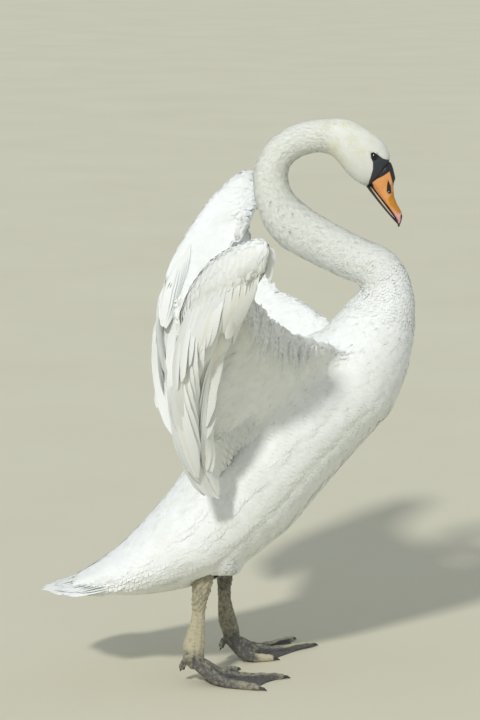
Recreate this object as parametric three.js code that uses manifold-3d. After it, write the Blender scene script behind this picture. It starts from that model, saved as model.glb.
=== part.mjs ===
// A mute swan at life size, standing with its neck drawn into an S and its wings half raised.
// Millimetres, +Z up. The bird faces +X, with its right side towards -Y.
import * as THREE from 'three';
import { mergeVertices } from 'three/addons/utils/BufferGeometryUtils.js';
import Module from 'manifold-3d';

const wasm = await Module();
wasm.setup();

// ---- Driving dimensions ----

// The clear gap between pieces that touch, and the room that a cut leaves round the piece it clears.
const GAP = 0.3;
const CLEARANCE = 0.4;
const FAN_CLEARANCE = 0.8;

// The middle line of the bird from the root of the tail to the root of the bill, as cross-sections:
// x and z of the middle, the lean of the section in degrees from +X up to the bird's back,
// half its depth from back to belly, and half its width from side to side.
const BODY_SECTIONS = [
  [-292, 171, 90, 10, 40],
  [-262, 178, 92, 20, 60],
  [-232, 187, 95, 32, 76],
  [-185, 204, 100, 51, 94],
  [-105, 251, 102, 88, 116],
  [-44, 297, 110, 111, 128],
  [28, 386, 117, 130, 134],
  [122, 489, 122, 116, 129],
  [203, 552, 131, 94, 112],
  [240, 623, 143, 73, 85],
  [257, 687, 167, 47, 54],
  [245, 718, 199, 43, 44],
  [224, 737, 219, 44, 42],
  [189, 752, 227, 41, 40],
  [134, 780, 239, 40, 39],
  [90, 807, 241, 42, 38],
  [64, 838, 230, 38, 35],
  [53, 875, 211, 34, 31],
  [56, 911, 175, 30, 28],
  [77, 941, 141, 29, 27],
  [114, 958, 111, 29, 27],
  [149, 961, 94, 30, 28],
  [177, 952, 76, 38, 31],
  [196, 937, 73, 43, 33],
  [219, 920, 68, 44, 31],
  [233, 908, 61, 39, 27],
  [240, 897, 52, 31, 23],
];

// Where the body is parted into its lengths, as section numbers.
const TRUNK_END = 10;
const NECK_CUTS = [TRUNK_END, 13, 15.6, 18, 21.4];

// The bill lies along the line of the mouth, from the gape forwards and down.
const GAPE = new THREE.Vector3(220, 0, 875);
const MOUTH_ANGLE = 50;
// Along the mouth, middle height over it, half height, half width.
const UPPER_BILL = [
  [-9, 29, 26, 18],
  [-2, 28.5, 29, 22],
  [8, 27, 25.5, 20.5],
  [20, 23, 22, 18],
  [31, 17.5, 16.5, 16.5],
  [43, 13.5, 12.5, 15.5],
  [61, 9, 8, 15.5],
  [76, 5, 4.8, 15.8],
  [85, 2.2, 3, 12],
  [89, 0.5, 1.6, 5],
];
const LOWER_BILL = [
  [-2, -1.5, 4, 15],
  [14, -1.5, 5.5, 15.5],
  [40, -1.5, 5.2, 14],
  [66, -1.6, 4.2, 14],
  [80, -1.8, 3, 11.5],
  [86, -2, 1.4, 6],
];

const BILL_SIDES = 10;

const EYE_RADIUS = 6;
const EYE_PLACE = new THREE.Vector3(229, 23.5, 928);

// The tail: a wedge of stiff feathers whose middle pair is the longest.
const TAIL = {
  feathers: 12,
  notch: 9,
  thick: [9, 2],
  roots: [[-215, -50, 184], [-222, -26, 187], [-224, 0, 188], [-222, 26, 187], [-215, 50, 184]],
  middles: [[-262, -74, 172], [-278, -40, 174], [-284, 0, 175], [-278, 40, 174], [-262, 74, 172]],
  tips: [[-298, -80, 162], [-332, -44, 160], [-352, 0, 159], [-332, 44, 160], [-298, 80, 162]],
};

// Each wing hangs from a shoulder, an elbow, a wrist and a knuckle. A flight feather runs from its
// root past a middle point to its tip, and the rows below give those three lines across each fan.
// Sections of a limb: middle, half breadth along the feathers, half thickness.
const RIGHT_WING = {
  side: 'right',
  feather_lie: [-0.25, 0.15, -0.95],
  leading_edge: [[205, -55, 592], [152, -135, 630], [100, -190, 651], [66, -250, 680],
    [38, -310, 717], [28, -345, 755], [40, -392, 805], [47, -414, 832]],
  trailing_edge: [[80, -55, 510], [0, -122, 466], [-64, -168, 466], [-96, -222, 548],
    [-94, -262, 680], [-52, -312, 750], [0, -372, 805], [32, -405, 832]],
  inner_thickness: [30, 27, 22, 17, 13, 9, 7, 5],
  forearm: [[-90, -250, 676, 30, 14], [-80, -272, 702, 38, 17], [-60, -312, 744, 43, 18],
    [-28, -362, 778, 45, 18], [6, -402, 800, 44, 17], [32, -424, 812, 34, 14], [44, -430, 818, 18, 8]],
  hand: [[40, -400, 806, 27, 9], [34, -362, 784, 29, 12], [20, -310, 756, 27, 11], [4, -262, 734, 17, 7]],
  hand_lie: [-0.2, 0.35, -0.9],
  alula: [[46, -414, 822, 8, 4], [50, -416, 804, 10, 4], [48, -412, 784, 8, 3], [44, -406, 764, 3, 1.5]],
  primaries: {
    feathers: 10,
    notch: 16,
    thick: [7, 2],
    roots: [[26, -384, 776], [18, -332, 752], [6, -280, 728]],
    middles: [[-52, -318, 650], [-72, -284, 600], [-86, -250, 560]],
    tips: [[-60, -236, 520], [-56, -214, 432], [-40, -184, 352]],
  },
  primary_coverts: {
    feathers: 5,
    notch: 12,
    thick: [7, 2],
    roots: [[14, -398, 764], [24, -382, 768], [30, -362, 762]],
    middles: [[-6, -386, 712], [6, -366, 712], [16, -346, 708]],
    tips: [[-22, -352, 676], [-16, -336, 654], [-8, -322, 672]],
  },
  secondaries: {
    feathers: 12,
    notch: 17,
    thick: [8, 2],
    roots: [[-98, -252, 664], [-78, -300, 712], [-46, -350, 742], [-10, -392, 766], [22, -414, 784]],
    middles: [[-130, -318, 545], [-116, -340, 585], [-92, -352, 625], [-56, -360, 665], [-18, -372, 690]],
    tips: [[-64, -222, 402], [-69, -240, 468], [-68, -256, 528], [-62, -266, 576], [-42, -268, 602]],
  },
  tertials: {
    feathers: 5,
    notch: 13,
    thick: [8, 2],
    roots: [[-70, -226, 628], [-84, -236, 644], [-96, -244, 656]],
    middles: [[-104, -262, 490], [-120, -288, 515], [-130, -308, 535]],
    tips: [[-34, -180, 350], [-50, -196, 366], [-62, -214, 392]],
  },
};

const LEFT_WING = {
  side: 'left',
  feather_lie: [-0.25, -0.15, -0.95],
  leading_edge: [[205, 55, 592], [152, 135, 632], [108, 192, 655], [60, 264, 673],
    [34, 312, 722], [28, 348, 772], [31, 388, 826], [38, 412, 856]],
  trailing_edge: [[80, 55, 510], [0, 122, 470], [-72, 172, 478], [-112, 228, 560],
    [-128, 268, 690], [-82, 318, 758], [-20, 376, 826], [20, 404, 856]],
  inner_thickness: [30, 27, 22, 17, 13, 9, 7, 5],
  forearm: [[-132, 268, 648, 28, 14], [-124, 284, 676, 36, 16], [-104, 320, 714, 41, 18],
    [-70, 356, 762, 43, 18], [-36, 388, 802, 42, 17], [0, 412, 830, 36, 15], [24, 424, 844, 22, 10],
    [34, 428, 850, 10, 5]],
  hand: [[30, 398, 826, 25, 9], [24, 356, 804, 29, 12], [10, 306, 778, 27, 11], [-4, 262, 758, 17, 7]],
  hand_lie: [-0.2, -0.35, -0.9],
  alula: [[44, 404, 836, 8, 4], [46, 402, 816, 10, 4], [42, 396, 794, 8, 3], [38, 390, 774, 3, 1.5]],
  primaries: {
    feathers: 10,
    notch: 16,
    thick: [7, 2],
    roots: [[20, 384, 800], [8, 332, 776], [-6, 280, 750]],
    middles: [[-74, 330, 660], [-100, 290, 610], [-118, 256, 570]],
    tips: [[-120, 262, 520], [-120, 236, 440], [-104, 206, 366]],
  },
  primary_coverts: {
    feathers: 5,
    notch: 12,
    thick: [7, 2],
    roots: [[4, 398, 788], [14, 382, 792], [20, 362, 786]],
    middles: [[-16, 386, 736], [-4, 366, 736], [6, 346, 732]],
    tips: [[-34, 356, 698], [-28, 340, 678], [-20, 326, 694]],
  },
  secondaries: {
    feathers: 12,
    notch: 17,
    thick: [8, 2],
    roots: [[-138, 264, 636], [-118, 308, 680], [-84, 350, 726], [-46, 386, 764], [-6, 410, 796]],
    middles: [[-168, 316, 526], [-164, 340, 565], [-140, 356, 612], [-102, 368, 655], [-60, 372, 694]],
    tips: [[-128, 256, 396], [-150, 290, 424], [-154, 302, 462], [-138, 296, 510], [-108, 288, 552]],
  },
  tertials: {
    feathers: 5,
    notch: 13,
    thick: [8, 2],
    roots: [[-96, 232, 634], [-116, 246, 640], [-134, 256, 630]],
    middles: [[-136, 268, 490], [-152, 292, 505], [-166, 308, 518]],
    tips: [[-104, 222, 372], [-114, 236, 380], [-126, 250, 392]],
  },
};

// Legs: the feathered shank drops out of the belly, and the bare tarsus runs on to the toes.
// Shank and tarsus sections: middle, half width, half depth. Toes give the tip of each on the floor.
const RIGHT_LEG = {
  side: 'right',
  shank: [[-22, -66, 236, 34, 40], [-40, -62, 214, 26, 30], [-54, -58, 200, 16, 18],
    [-62, -56, 190, 11, 12.5]],
  tarsus: [[-62, -56, 187, 11.5, 13], [-63.5, -55, 173, 14, 18], [-69, -54, 155, 12.5, 15.5],
    [-72, -53, 140, 9.5, 12], [-73, -52, 122, 9.5, 11.8], [-76, -51, 100, 11, 15],
    [-80, -50, 76, 13.5, 19], [-82, -50, 58, 14, 20]],
  heel: [-82, -50],
  toes: { outer: [35, -88], middle: [77, -19], inner: [-7, 28] },
  hind: { at: [-97, -47, 40], tip: [-103, -45, 28] },
};
const LEFT_LEG = {
  side: 'left',
  shank: [[-14, 66, 236, 28, 34], [-17, 64, 214, 22, 26], [-22, 64, 196, 15, 17], [-25, 64, 182, 11, 12.5]],
  tarsus: [[-25, 64, 179, 11.5, 13], [-27, 65, 163, 14, 17], [-28, 67, 146, 11, 13],
    [-28.5, 68, 131, 9.5, 11.2], [-27, 70, 112, 10, 12.5], [-24, 73, 88, 12, 16],
    [-19, 76, 68, 13.5, 16.5], [-16, 78, 58, 14, 16]],
  heel: [-16, 78],
  toes: { outer: [97, 221], middle: [134, 181], inner: [60, 92] },
  hind: { at: [-29, 76, 42], tip: [-34, 75, 31] },
};
const TOE_RADIUS = 9.5;
const TOE_TIP_RADIUS = 5.5;
const HEEL_HEIGHT = 58;
const WEB_THICKNESS = 3;
const WEB_HOLLOW = 0.08;
const CLAW_LENGTH = 15;
const CLAW_TIP_HEIGHT = 1;
const HIND_CLAW_LENGTH = 7;
const HIND_CLAW_RADIUS = 3;
// How far each claw starts beyond the end of its toe; the hind toe turns, so its claw stands further.
const CLAW_SET = 0.5;
const HIND_CLAW_SET = 1.5;
// The direction across a leg, which its sections' width follows.
const LEG_LIE = [0, 1, 0];

// ---- Materials ----

const plumage = { color: 0xf5f4ef, roughness: 0.85, metalness: 0 };
const flightFeather = { color: 0xf0efe9, roughness: 0.7, metalness: 0 };
const orangeBill = { color: 0xe07a2c, roughness: 0.45, metalness: 0 };
const blackBill = { color: 0x1d1b1a, roughness: 0.5, metalness: 0 };
const eyeSurface = { color: 0x1c120c, roughness: 0.08, metalness: 0 };
const legSkin = { color: 0x4d4b46, roughness: 0.75, metalness: 0 };
const clawHorn = { color: 0x1b1917, roughness: 0.5, metalness: 0 };

// ---- Solids and their booleans ----

const point = (row) => new THREE.Vector3(row[0], row[1], row[2]);

function smoothLine(rows) {
  return new THREE.CatmullRomCurve3(rows.map(point), false, 'centripetal');
}

function toManifold(geometry) {
  const bare = geometry.clone();
  bare.deleteAttribute('normal');
  bare.deleteAttribute('uv');
  const merged = mergeVertices(bare, 1e-4);
  const vertProperties = new Float32Array(merged.attributes.position.array);
  const triVerts = new Uint32Array(merged.index.array);
  return new wasm.Manifold(new wasm.Mesh({ numProp: 3, vertProperties, triVerts }));
}

function toGeometry(manifold) {
  const mesh = manifold.getMesh();
  const geometry = new THREE.BufferGeometry();
  geometry.setAttribute('position', new THREE.BufferAttribute(new Float32Array(mesh.vertProperties), 3));
  geometry.setIndex(new THREE.BufferAttribute(new Uint32Array(mesh.triVerts), 1));
  return geometry;
}

function join(geometries) {
  return toGeometry(geometries.map(toManifold).reduce((whole, next) => whole.add(next)));
}

// Cuts the tools' room out of a piece, and drops any crumb that the cuts set free.
function cut(geometry, tools) {
  const rest = tools.map(toManifold).reduce((whole, tool) => whole.subtract(tool), toManifold(geometry));
  const largest = rest.decompose().reduce((best, body) => (body.volume() > best.volume() ? body : best));
  return toGeometry(largest);
}

// Moves every vertex of a stock three.js solid by a function of its place.
function reshape(geometry, place) {
  const positions = geometry.attributes.position;
  const local = new THREE.Vector3();
  for (let i = 0; i < positions.count; i += 1) {
    local.fromBufferAttribute(positions, i);
    const moved = place(local);
    positions.setXYZ(i, moved.x, moved.y, moved.z);
  }
  geometry.computeVertexNormals();
  return geometry;
}

// ---- Lofts: an upright cylinder bent along a line, its section an oval that varies on the way ----

// A section is { at, across, half: [along across, along the third direction] }.
function loft(sections, { sides = 16, rings = 12, from = 0, to = sections.length - 1, grow = 0 } = {}) {
  const last = sections.length - 1;
  const middles = new THREE.CatmullRomCurve3(sections.map((s) => s.at), false, 'catmullrom', 0.5);
  const acrosses = new THREE.CatmullRomCurve3(sections.map((s) => s.across), false, 'catmullrom', 0.5);
  const halves = new THREE.CatmullRomCurve3(
    sections.map((s) => new THREE.Vector3(s.half[0], s.half[1], 0)), false, 'catmullrom', 0.5);
  return reshape(new THREE.CylinderGeometry(1, 1, 1, sides, rings), (local) => {
    const t = THREE.MathUtils.clamp(THREE.MathUtils.lerp(from, to, local.y + 0.5) / last, 0, 1);
    const across = acrosses.getPoint(t).normalize();
    const tangent = middles.getTangent(THREE.MathUtils.clamp(t, 0.001, 0.999));
    const third = across.clone().cross(tangent).normalize();
    const half = halves.getPoint(t);
    const cap = Math.trunc(2 * local.y);
    return middles.getPoint(t)
      .addScaledVector(tangent, cap * grow)
      .addScaledVector(across, local.x * (half.x + grow))
      .addScaledVector(third, local.z * (half.y + grow));
  });
}

// The body's sections stand upright, so their depth direction comes straight from their lean.
function bodySections() {
  return BODY_SECTIONS.map(([x, z, lean, depth, width]) => {
    const angle = THREE.MathUtils.degToRad(lean);
    return {
      at: new THREE.Vector3(x, 0, z),
      across: new THREE.Vector3(Math.cos(angle), 0, Math.sin(angle)),
      half: [depth, width],
    };
  });
}

const BODY_SIDES = 16;

// A length of the body between two section numbers, drawn back by half the gap at each end.
function bodyLength(from, to, options = {}) {
  const sections = bodySections();
  const middles = new THREE.CatmullRomCurve3(sections.map((s) => s.at), false, 'catmullrom', 0.5);
  const place = (number) => middles.getPoint(THREE.MathUtils.clamp(number / (sections.length - 1), 0, 1));
  const step = 0.05;
  const speed = (number) => place(number + step).distanceTo(place(number - step)) / (2 * step);
  const trim = (number) => GAP / speed(number);
  const start = from === 0 ? 0 : from + trim(from);
  return loft(sections, { sides: BODY_SIDES, from: start, to: to - trim(to), ...options });
}

// A limb's sections all lie the same way: their breadth runs along one direction.
function limbSections(rows, lie) {
  return rows.map((row) => ({ at: point(row), across: point(lie).normalize(), half: [row[3], row[4]] }));
}

// ---- Fans: a thin sheet of feathers side by side, its edge notched between their tips ----

const COLUMNS_PER_FEATHER = 2;
const FAN_ROWS = 3;

function fan({ feathers, notch, thick, roots, middles, tips }, grow = 0) {
  const rootLine = smoothLine(roots);
  const middleLine = smoothLine(middles);
  const tipLine = smoothLine(tips);
  const columns = feathers * COLUMNS_PER_FEATHER;
  const place = (u, v) => {
    const root = rootLine.getPoint(u);
    const tip = tipLine.getPoint(u);
    const edge = Math.abs(2 * (((u * columns) % COLUMNS_PER_FEATHER) / COLUMNS_PER_FEATHER) - 1);
    const reach = v * (1 - (notch * edge ** 2 * v ** 6) / root.distanceTo(tip));
    return new THREE.QuadraticBezierCurve3(root, middleLine.getPoint(u), tip).getPoint(reach);
  };
  // The directions along the fan at a point, from one feather to the next and from root to tip.
  const step = 0.01;
  const span = (a, b) => place(...b).sub(place(...a)).normalize();
  const sideways = (u, v) => span([Math.max(u - step, 0), 0.9 * v], [Math.min(u + step, 1), 0.9 * v]);
  const lengthways = (u, v) => span([u, Math.max(0.9 * v - step, 0)], [u, 0.9 * v + step]);
  return reshape(new THREE.BoxGeometry(1, 1, 1, columns, FAN_ROWS, 1), (local) => {
    const u = local.x + 0.5;
    const v = local.y + 0.5;
    const side = sideways(u, v);
    const along = lengthways(u, v);
    const half = THREE.MathUtils.lerp(thick[0], thick[1], v) / 2 + grow;
    return place(u, v)
      .addScaledVector(side.clone().cross(along).normalize(), 2 * local.z * half)
      .addScaledVector(side, Math.trunc(2 * local.x) * grow)
      .addScaledVector(along, Math.trunc(2 * local.y) * grow);
  });
}

// ---- The bird ----

const swan = new THREE.Group();

function add(name, geometry, surface, parent = swan) {
  const piece = new THREE.Mesh(geometry, new THREE.MeshStandardMaterial(surface));
  piece.name = name;
  parent.add(piece);
}

const TRUNK_RINGS = 15;
const trunkRoom = bodyLength(0, TRUNK_END, { rings: TRUNK_RINGS, grow: CLEARANCE });

function addTrunkAndNeck() {
  add('trunk', bodyLength(0, TRUNK_END, { rings: TRUNK_RINGS }), plumage);
  for (let i = 0; i + 1 < NECK_CUTS.length; i += 1) {
    add(`neck_${i + 1}`, bodyLength(NECK_CUTS[i], NECK_CUTS[i + 1], { rings: 4 }), plumage);
  }
  add('tail', cut(fan(TAIL), [trunkRoom]), flightFeather);
}

function eyeGeometry(side, grow = 0) {
  const ball = new THREE.SphereGeometry(EYE_RADIUS + grow, 9, 5);
  return ball.translate(EYE_PLACE.x, side * EYE_PLACE.y, EYE_PLACE.z);
}

function addHead() {
  const head = bodyLength(NECK_CUTS.at(-1), BODY_SECTIONS.length - 1, { rings: 8 });
  add('head', cut(head, [eyeGeometry(-1, GAP), eyeGeometry(1, GAP)]), plumage);
  add('eye_right', eyeGeometry(-1), eyeSurface);
  add('eye_left', eyeGeometry(1), eyeSurface);
}

// Bill sections stand square to the line of the mouth.
function billSections(rows) {
  const angle = THREE.MathUtils.degToRad(MOUTH_ANGLE);
  const forwards = new THREE.Vector3(Math.cos(angle), 0, -Math.sin(angle));
  const upwards = new THREE.Vector3(Math.sin(angle), 0, Math.cos(angle));
  return rows.map(([along, height, halfHeight, halfWidth]) => ({
    at: GAPE.clone().addScaledVector(forwards, along).addScaledVector(upwards, height),
    across: upwards,
    half: [halfHeight, halfWidth],
  }));
}

function addBill() {
  const headRoom = bodyLength(NECK_CUTS.at(-1), BODY_SECTIONS.length - 1, { rings: 8, grow: CLEARANCE });
  const upper = billSections(UPPER_BILL);
  const lower = billSections(LOWER_BILL);
  add('bill_upper', cut(loft(upper, { sides: BILL_SIDES, rings: 9 }), [headRoom]), orangeBill);
  const upperRoom = loft(upper, { sides: BILL_SIDES, rings: 9, grow: CLEARANCE });
  add('bill_lower', cut(loft(lower, { sides: BILL_SIDES, rings: 6 }), [headRoom, upperRoom]), blackBill);
}

// The inner wing fills the corner between shoulder, elbow and wrist, out to its free leading edge.
function innerWingSections({ leading_edge, trailing_edge, inner_thickness }) {
  return leading_edge.map((row, i) => {
    const front = point(row);
    const back = point(trailing_edge[i]);
    return {
      at: front.clone().lerp(back, 0.5),
      across: back.clone().sub(front).normalize(),
      half: [front.distanceTo(back) / 2, inner_thickness[i] / 2],
    };
  });
}

const LIMB_SIDES = 9;

function addWing(wing) {
  const inner = innerWingSections(wing);
  const forearm = limbSections(wing.forearm, wing.feather_lie);
  const hand = limbSections(wing.hand, wing.hand_lie);
  const alula = limbSections(wing.alula, [1, 0, 0]);
  const limb = (sections, rings) => loft(sections, { sides: LIMB_SIDES, rings });
  const room = (sections, rings) => loft(sections, { sides: LIMB_SIDES, rings, grow: CLEARANCE });
  const forearmRoom = room(forearm, 8);
  const innerRoom = room(inner, 8);
  const handRoom = room(hand, 4);
  add(`inner_wing_${wing.side}`, cut(limb(inner, 8), [trunkRoom, forearmRoom]), plumage);
  add(`forearm_${wing.side}`, limb(forearm, 8), plumage);
  add(`hand_${wing.side}`, cut(limb(hand, 4), [forearmRoom, innerRoom]), plumage);
  const limbs = [forearmRoom, innerRoom, handRoom];
  add(`alula_${wing.side}`, cut(loft(alula, { sides: 6, rings: 4 }), limbs), flightFeather);
  const cleared = [...limbs, trunkRoom];
  for (const name of ['secondaries', 'tertials', 'primaries', 'primary_coverts']) {
    add(`${name}_${wing.side}`, cut(fan(wing[name]), cleared), flightFeather);
    cleared.push(fan(wing[name], FAN_CLEARANCE));
  }
}

// A toe slopes down from the heel and lies on the floor, its underside pressed flat. Its rows give
// the share of the way to the tip, the height of its middle and its radius.
const TOE_ROWS = [[0, HEEL_HEIGHT - 14, 12.5], [0.16, 29, 12.5], [0.38, TOE_RADIUS, TOE_RADIUS + 1.5],
  [0.7, TOE_TIP_RADIUS + 0.5, TOE_RADIUS - 1], [1, TOE_TIP_RADIUS - 1, TOE_TIP_RADIUS]];

function toeGeometry(heel, tip) {
  const start = new THREE.Vector3(heel[0], heel[1], 0);
  const way = new THREE.Vector3(tip[0], tip[1], 0).sub(start);
  const across = new THREE.Vector3(-way.y, way.x, 0).normalize();
  const sections = TOE_ROWS.map(([share, height, radius]) => (
    { at: start.clone().addScaledVector(way, share).setZ(height), across, half: [radius, radius] }));
  const toe = loft(sections, { sides: 6, rings: 5 });
  return reshape(toe, (local) => new THREE.Vector3(local.x, local.y, Math.max(local.z, 0)));
}

// The heel carries the end of the tarsus on towards the roots of the toes.
function heelGeometry(tarsus) {
  const [x, y, z, width, depth] = tarsus[tarsus.length - 1];
  const rows = [[x, y, z - CLEARANCE, width, depth], [x + 2, y, z - 12, width, depth - 1],
    [x + 8, y, z - 26, width - 3, depth - 6]];
  return loft(limbSections(rows, LEG_LIE), { sides: LIMB_SIDES, rings: 3 });
}

// The web between two toes: a skin on the floor, thicker towards the heel, its free edge hollowed.
function webGeometry(heel, first, second) {
  const start = new THREE.Vector3(heel[0], heel[1], 0);
  const [left, right] = first[1] > second[1] ? [first, second] : [second, first];
  return reshape(new THREE.BoxGeometry(1, 1, 1, 3, 2, 1), (local) => {
    const u = local.x + 0.5;
    const v = local.y + 0.5;
    const hollow = 1 - WEB_HOLLOW * Math.sin(Math.PI * u);
    const reach = THREE.MathUtils.lerp(0.28, 0.955, v) * hollow;
    const tip = new THREE.Vector3(left[0], left[1], 0).lerp(new THREE.Vector3(right[0], right[1], 0), u);
    const depth = WEB_THICKNESS * (1 + 2.5 * (1 - v) ** 2);
    return start.clone().lerp(tip, reach).setZ((local.z + 0.5) * depth);
  });
}

function clawGeometry(base, tip, radius) {
  const way = tip.clone().sub(base);
  const across = new THREE.Vector3(-way.y, way.x, 0).normalize();
  const middle = base.clone().lerp(tip, 0.5).add(new THREE.Vector3(0, 0, 1.5));
  const rows = [[base, radius], [middle, radius * 0.75], [tip, 0.8]];
  const sections = rows.map(([at, half]) => ({ at, across, half: [half, half] }));
  const claw = loft(sections, { sides: 5, rings: 2 });
  return reshape(claw, (local) => new THREE.Vector3(local.x, local.y, Math.max(local.z, 0)));
}

// The small hind toe springs from the back of the heel and hangs clear of the floor.
function hindToeGeometry({ heel, hind }) {
  const start = new THREE.Vector3(heel[0], heel[1], HEEL_HEIGHT - 12);
  const rows = [[start, 7], [point(hind.at), 6], [point(hind.tip), 4.5]];
  const across = new THREE.Vector3(0, 1, 0);
  const sections = rows.map(([at, radius]) => ({ at, across, half: [radius, radius] }));
  return loft(sections, { sides: 6, rings: 2 });
}

function addLeg(leg) {
  const shank = limbSections(leg.shank, LEG_LIE);
  const tarsus = limbSections(leg.tarsus, LEG_LIE);
  const shankShape = { sides: LIMB_SIDES, rings: 5 };
  const tarsusShape = { sides: LIMB_SIDES, rings: 8 };
  const shankRoom = loft(shank, { ...shankShape, grow: CLEARANCE });
  const tarsusRoom = loft(tarsus, { ...tarsusShape, grow: CLEARANCE });
  add(`shank_${leg.side}`, cut(loft(shank, shankShape), [trunkRoom]), plumage);
  add(`tarsus_${leg.side}`, cut(loft(tarsus, tarsusShape), [shankRoom, trunkRoom]), legSkin);
  const { outer, middle, inner } = leg.toes;
  const toes = [outer, middle, inner].map((tip) => toeGeometry(leg.heel, tip));
  const webs = [webGeometry(leg.heel, inner, middle), webGeometry(leg.heel, middle, outer)];
  const hind = hindToeGeometry(leg);
  const heel = heelGeometry(leg.tarsus);
  const foot = cut(join([...toes, ...webs, heel, hind]), [tarsusRoom]);
  add(`foot_${leg.side}`, foot, legSkin);
  for (const [name, tip] of Object.entries(leg.toes)) {
    const end = new THREE.Vector3(tip[0], tip[1], TOE_TIP_RADIUS - 1);
    const way = end.clone().sub(new THREE.Vector3(leg.heel[0], leg.heel[1], end.z)).normalize();
    const base = end.clone().addScaledVector(way, CLAW_SET);
    const clawTip = base.clone().addScaledVector(way, CLAW_LENGTH).setZ(CLAW_TIP_HEIGHT);
    add(`claw_${name}_${leg.side}`, clawGeometry(base, clawTip, TOE_TIP_RADIUS - 1), clawHorn);
  }
  const hindTip = point(leg.hind.tip);
  const back = hindTip.clone().sub(point(leg.hind.at)).normalize();
  const hindBase = hindTip.clone().addScaledVector(back, HIND_CLAW_SET);
  const hindClawTip = hindBase.clone().addScaledVector(back, HIND_CLAW_LENGTH);
  add(`claw_hind_${leg.side}`, clawGeometry(hindBase, hindClawTip, HIND_CLAW_RADIUS), clawHorn);
}

addTrunkAndNeck();
addHead();
addBill();
addWing(RIGHT_WING);
addWing(LEFT_WING);
addLeg(RIGHT_LEG);
addLeg(LEFT_LEG);

// The origin is under the middle of the bird's bounding box, at the level of the floor.
const bounds = new THREE.Box3().setFromObject(swan);
const middle = bounds.getCenter(new THREE.Vector3());
swan.position.set(-middle.x, -middle.y, -bounds.min.z);

export default swan;
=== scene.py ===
"""A mute swan at life size, standing with its neck in an S and its wings half raised.

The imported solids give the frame. One skin takes the place of the fleshy ones. The plumage lies on
it as mesh: small vanes over the body, rows of coverts on the wings, and every flight and tail
feather by itself. Places are in millimetres in the bird's own table, then moved to the frame.
"""

import math

import bmesh
import bpy
import numpy as np
from mathutils import Matrix, Vector
from mathutils.bvhtree import BVHTree


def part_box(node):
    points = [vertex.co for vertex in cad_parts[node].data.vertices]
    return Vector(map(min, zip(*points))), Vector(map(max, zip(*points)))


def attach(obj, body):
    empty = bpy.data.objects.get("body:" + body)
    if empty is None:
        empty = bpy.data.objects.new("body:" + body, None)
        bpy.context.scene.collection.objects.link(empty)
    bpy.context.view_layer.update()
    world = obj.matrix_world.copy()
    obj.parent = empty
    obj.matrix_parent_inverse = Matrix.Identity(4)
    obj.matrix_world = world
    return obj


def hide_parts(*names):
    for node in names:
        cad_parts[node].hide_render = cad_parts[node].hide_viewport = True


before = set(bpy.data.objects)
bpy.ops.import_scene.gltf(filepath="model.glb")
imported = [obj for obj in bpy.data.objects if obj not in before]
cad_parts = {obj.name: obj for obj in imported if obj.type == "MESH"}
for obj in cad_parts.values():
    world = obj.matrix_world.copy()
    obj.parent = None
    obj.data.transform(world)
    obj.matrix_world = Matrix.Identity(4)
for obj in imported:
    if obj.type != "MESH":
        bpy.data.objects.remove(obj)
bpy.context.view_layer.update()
SEED = 20
rng = np.random.default_rng(SEED)

# ---- Places ----

MM = 0.001
SIDES = ("right", "left")
# The middle of the left eye in the bird's table, then the radii of ball, pupil and iris, all in mm.
EYE_PLACE = (229, 23.5, 928)
EYE_RADIUS = 6
PUPIL_RADIUS = 2.6
IRIS_RADIUS = 4.6
right_eye = np.array(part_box("eye_right")).mean(0)
left_eye = np.array(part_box("eye_left")).mean(0)
ORIGIN = (right_eye + left_eye) / 2 - np.array([EYE_PLACE[0], 0, EYE_PLACE[2]]) * MM


def place(rows):
    """Points of the bird's table, in millimetres, as points of the frame in metres."""
    return np.asarray(rows, float) * MM + ORIGIN


# The middle line: x and z of each section, from tail to bill.
BODY_SECTIONS = [
    (-292, 171), (-262, 178), (-232, 187), (-185, 204), (-105, 251), (-44, 297), (28, 386),
    (122, 489), (203, 552), (240, 623), (257, 687), (245, 718), (224, 737), (189, 752), (134, 780),
    (90, 807), (64, 838), (53, 875), (56, 911), (77, 941), (114, 958), (149, 961), (177, 952),
    (196, 937), (219, 920), (233, 908), (240, 897),
]
BODY_PARTS = {"trunk": (0, 10), "neck_1": (10, 13), "neck_2": (13, 15.6), "neck_3": (15.6, 18),
              "neck_4": (18, 21.4), "head": (21.4, 26)}
LIMB_PARTS = ("inner_wing", "forearm", "hand", "shank")
FLESH = [*BODY_PARTS, *(f"{part}_{side}" for side in SIDES for part in LIMB_PARTS)]
LAST_SECTION = len(BODY_SECTIONS) - 1
STEPS_OF_SECTION = 20

# The bill's own axes: forwards along the line of the mouth, and upwards square to it.
GAPE = (220, 0, 875)
MOUTH_ANGLE = math.radians(50)

# A fan of long feathers: how many, half the width of each, and where roots, middles and tips run.
TAIL = {
    "feathers": 12, "half_width": 21,
    "roots": [(-215, -50, 184), (-222, -26, 187), (-224, 0, 188), (-222, 26, 187), (-215, 50, 184)],
    "middles": [(-262, -74, 178), (-278, -40, 177), (-284, 0, 175), (-278, 40, 174), (-262, 74, 172)],
    "tips": [(-298, -80, 169), (-332, -44, 164), (-352, 0, 160), (-332, 44, 160), (-298, 80, 162)],
}
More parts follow.
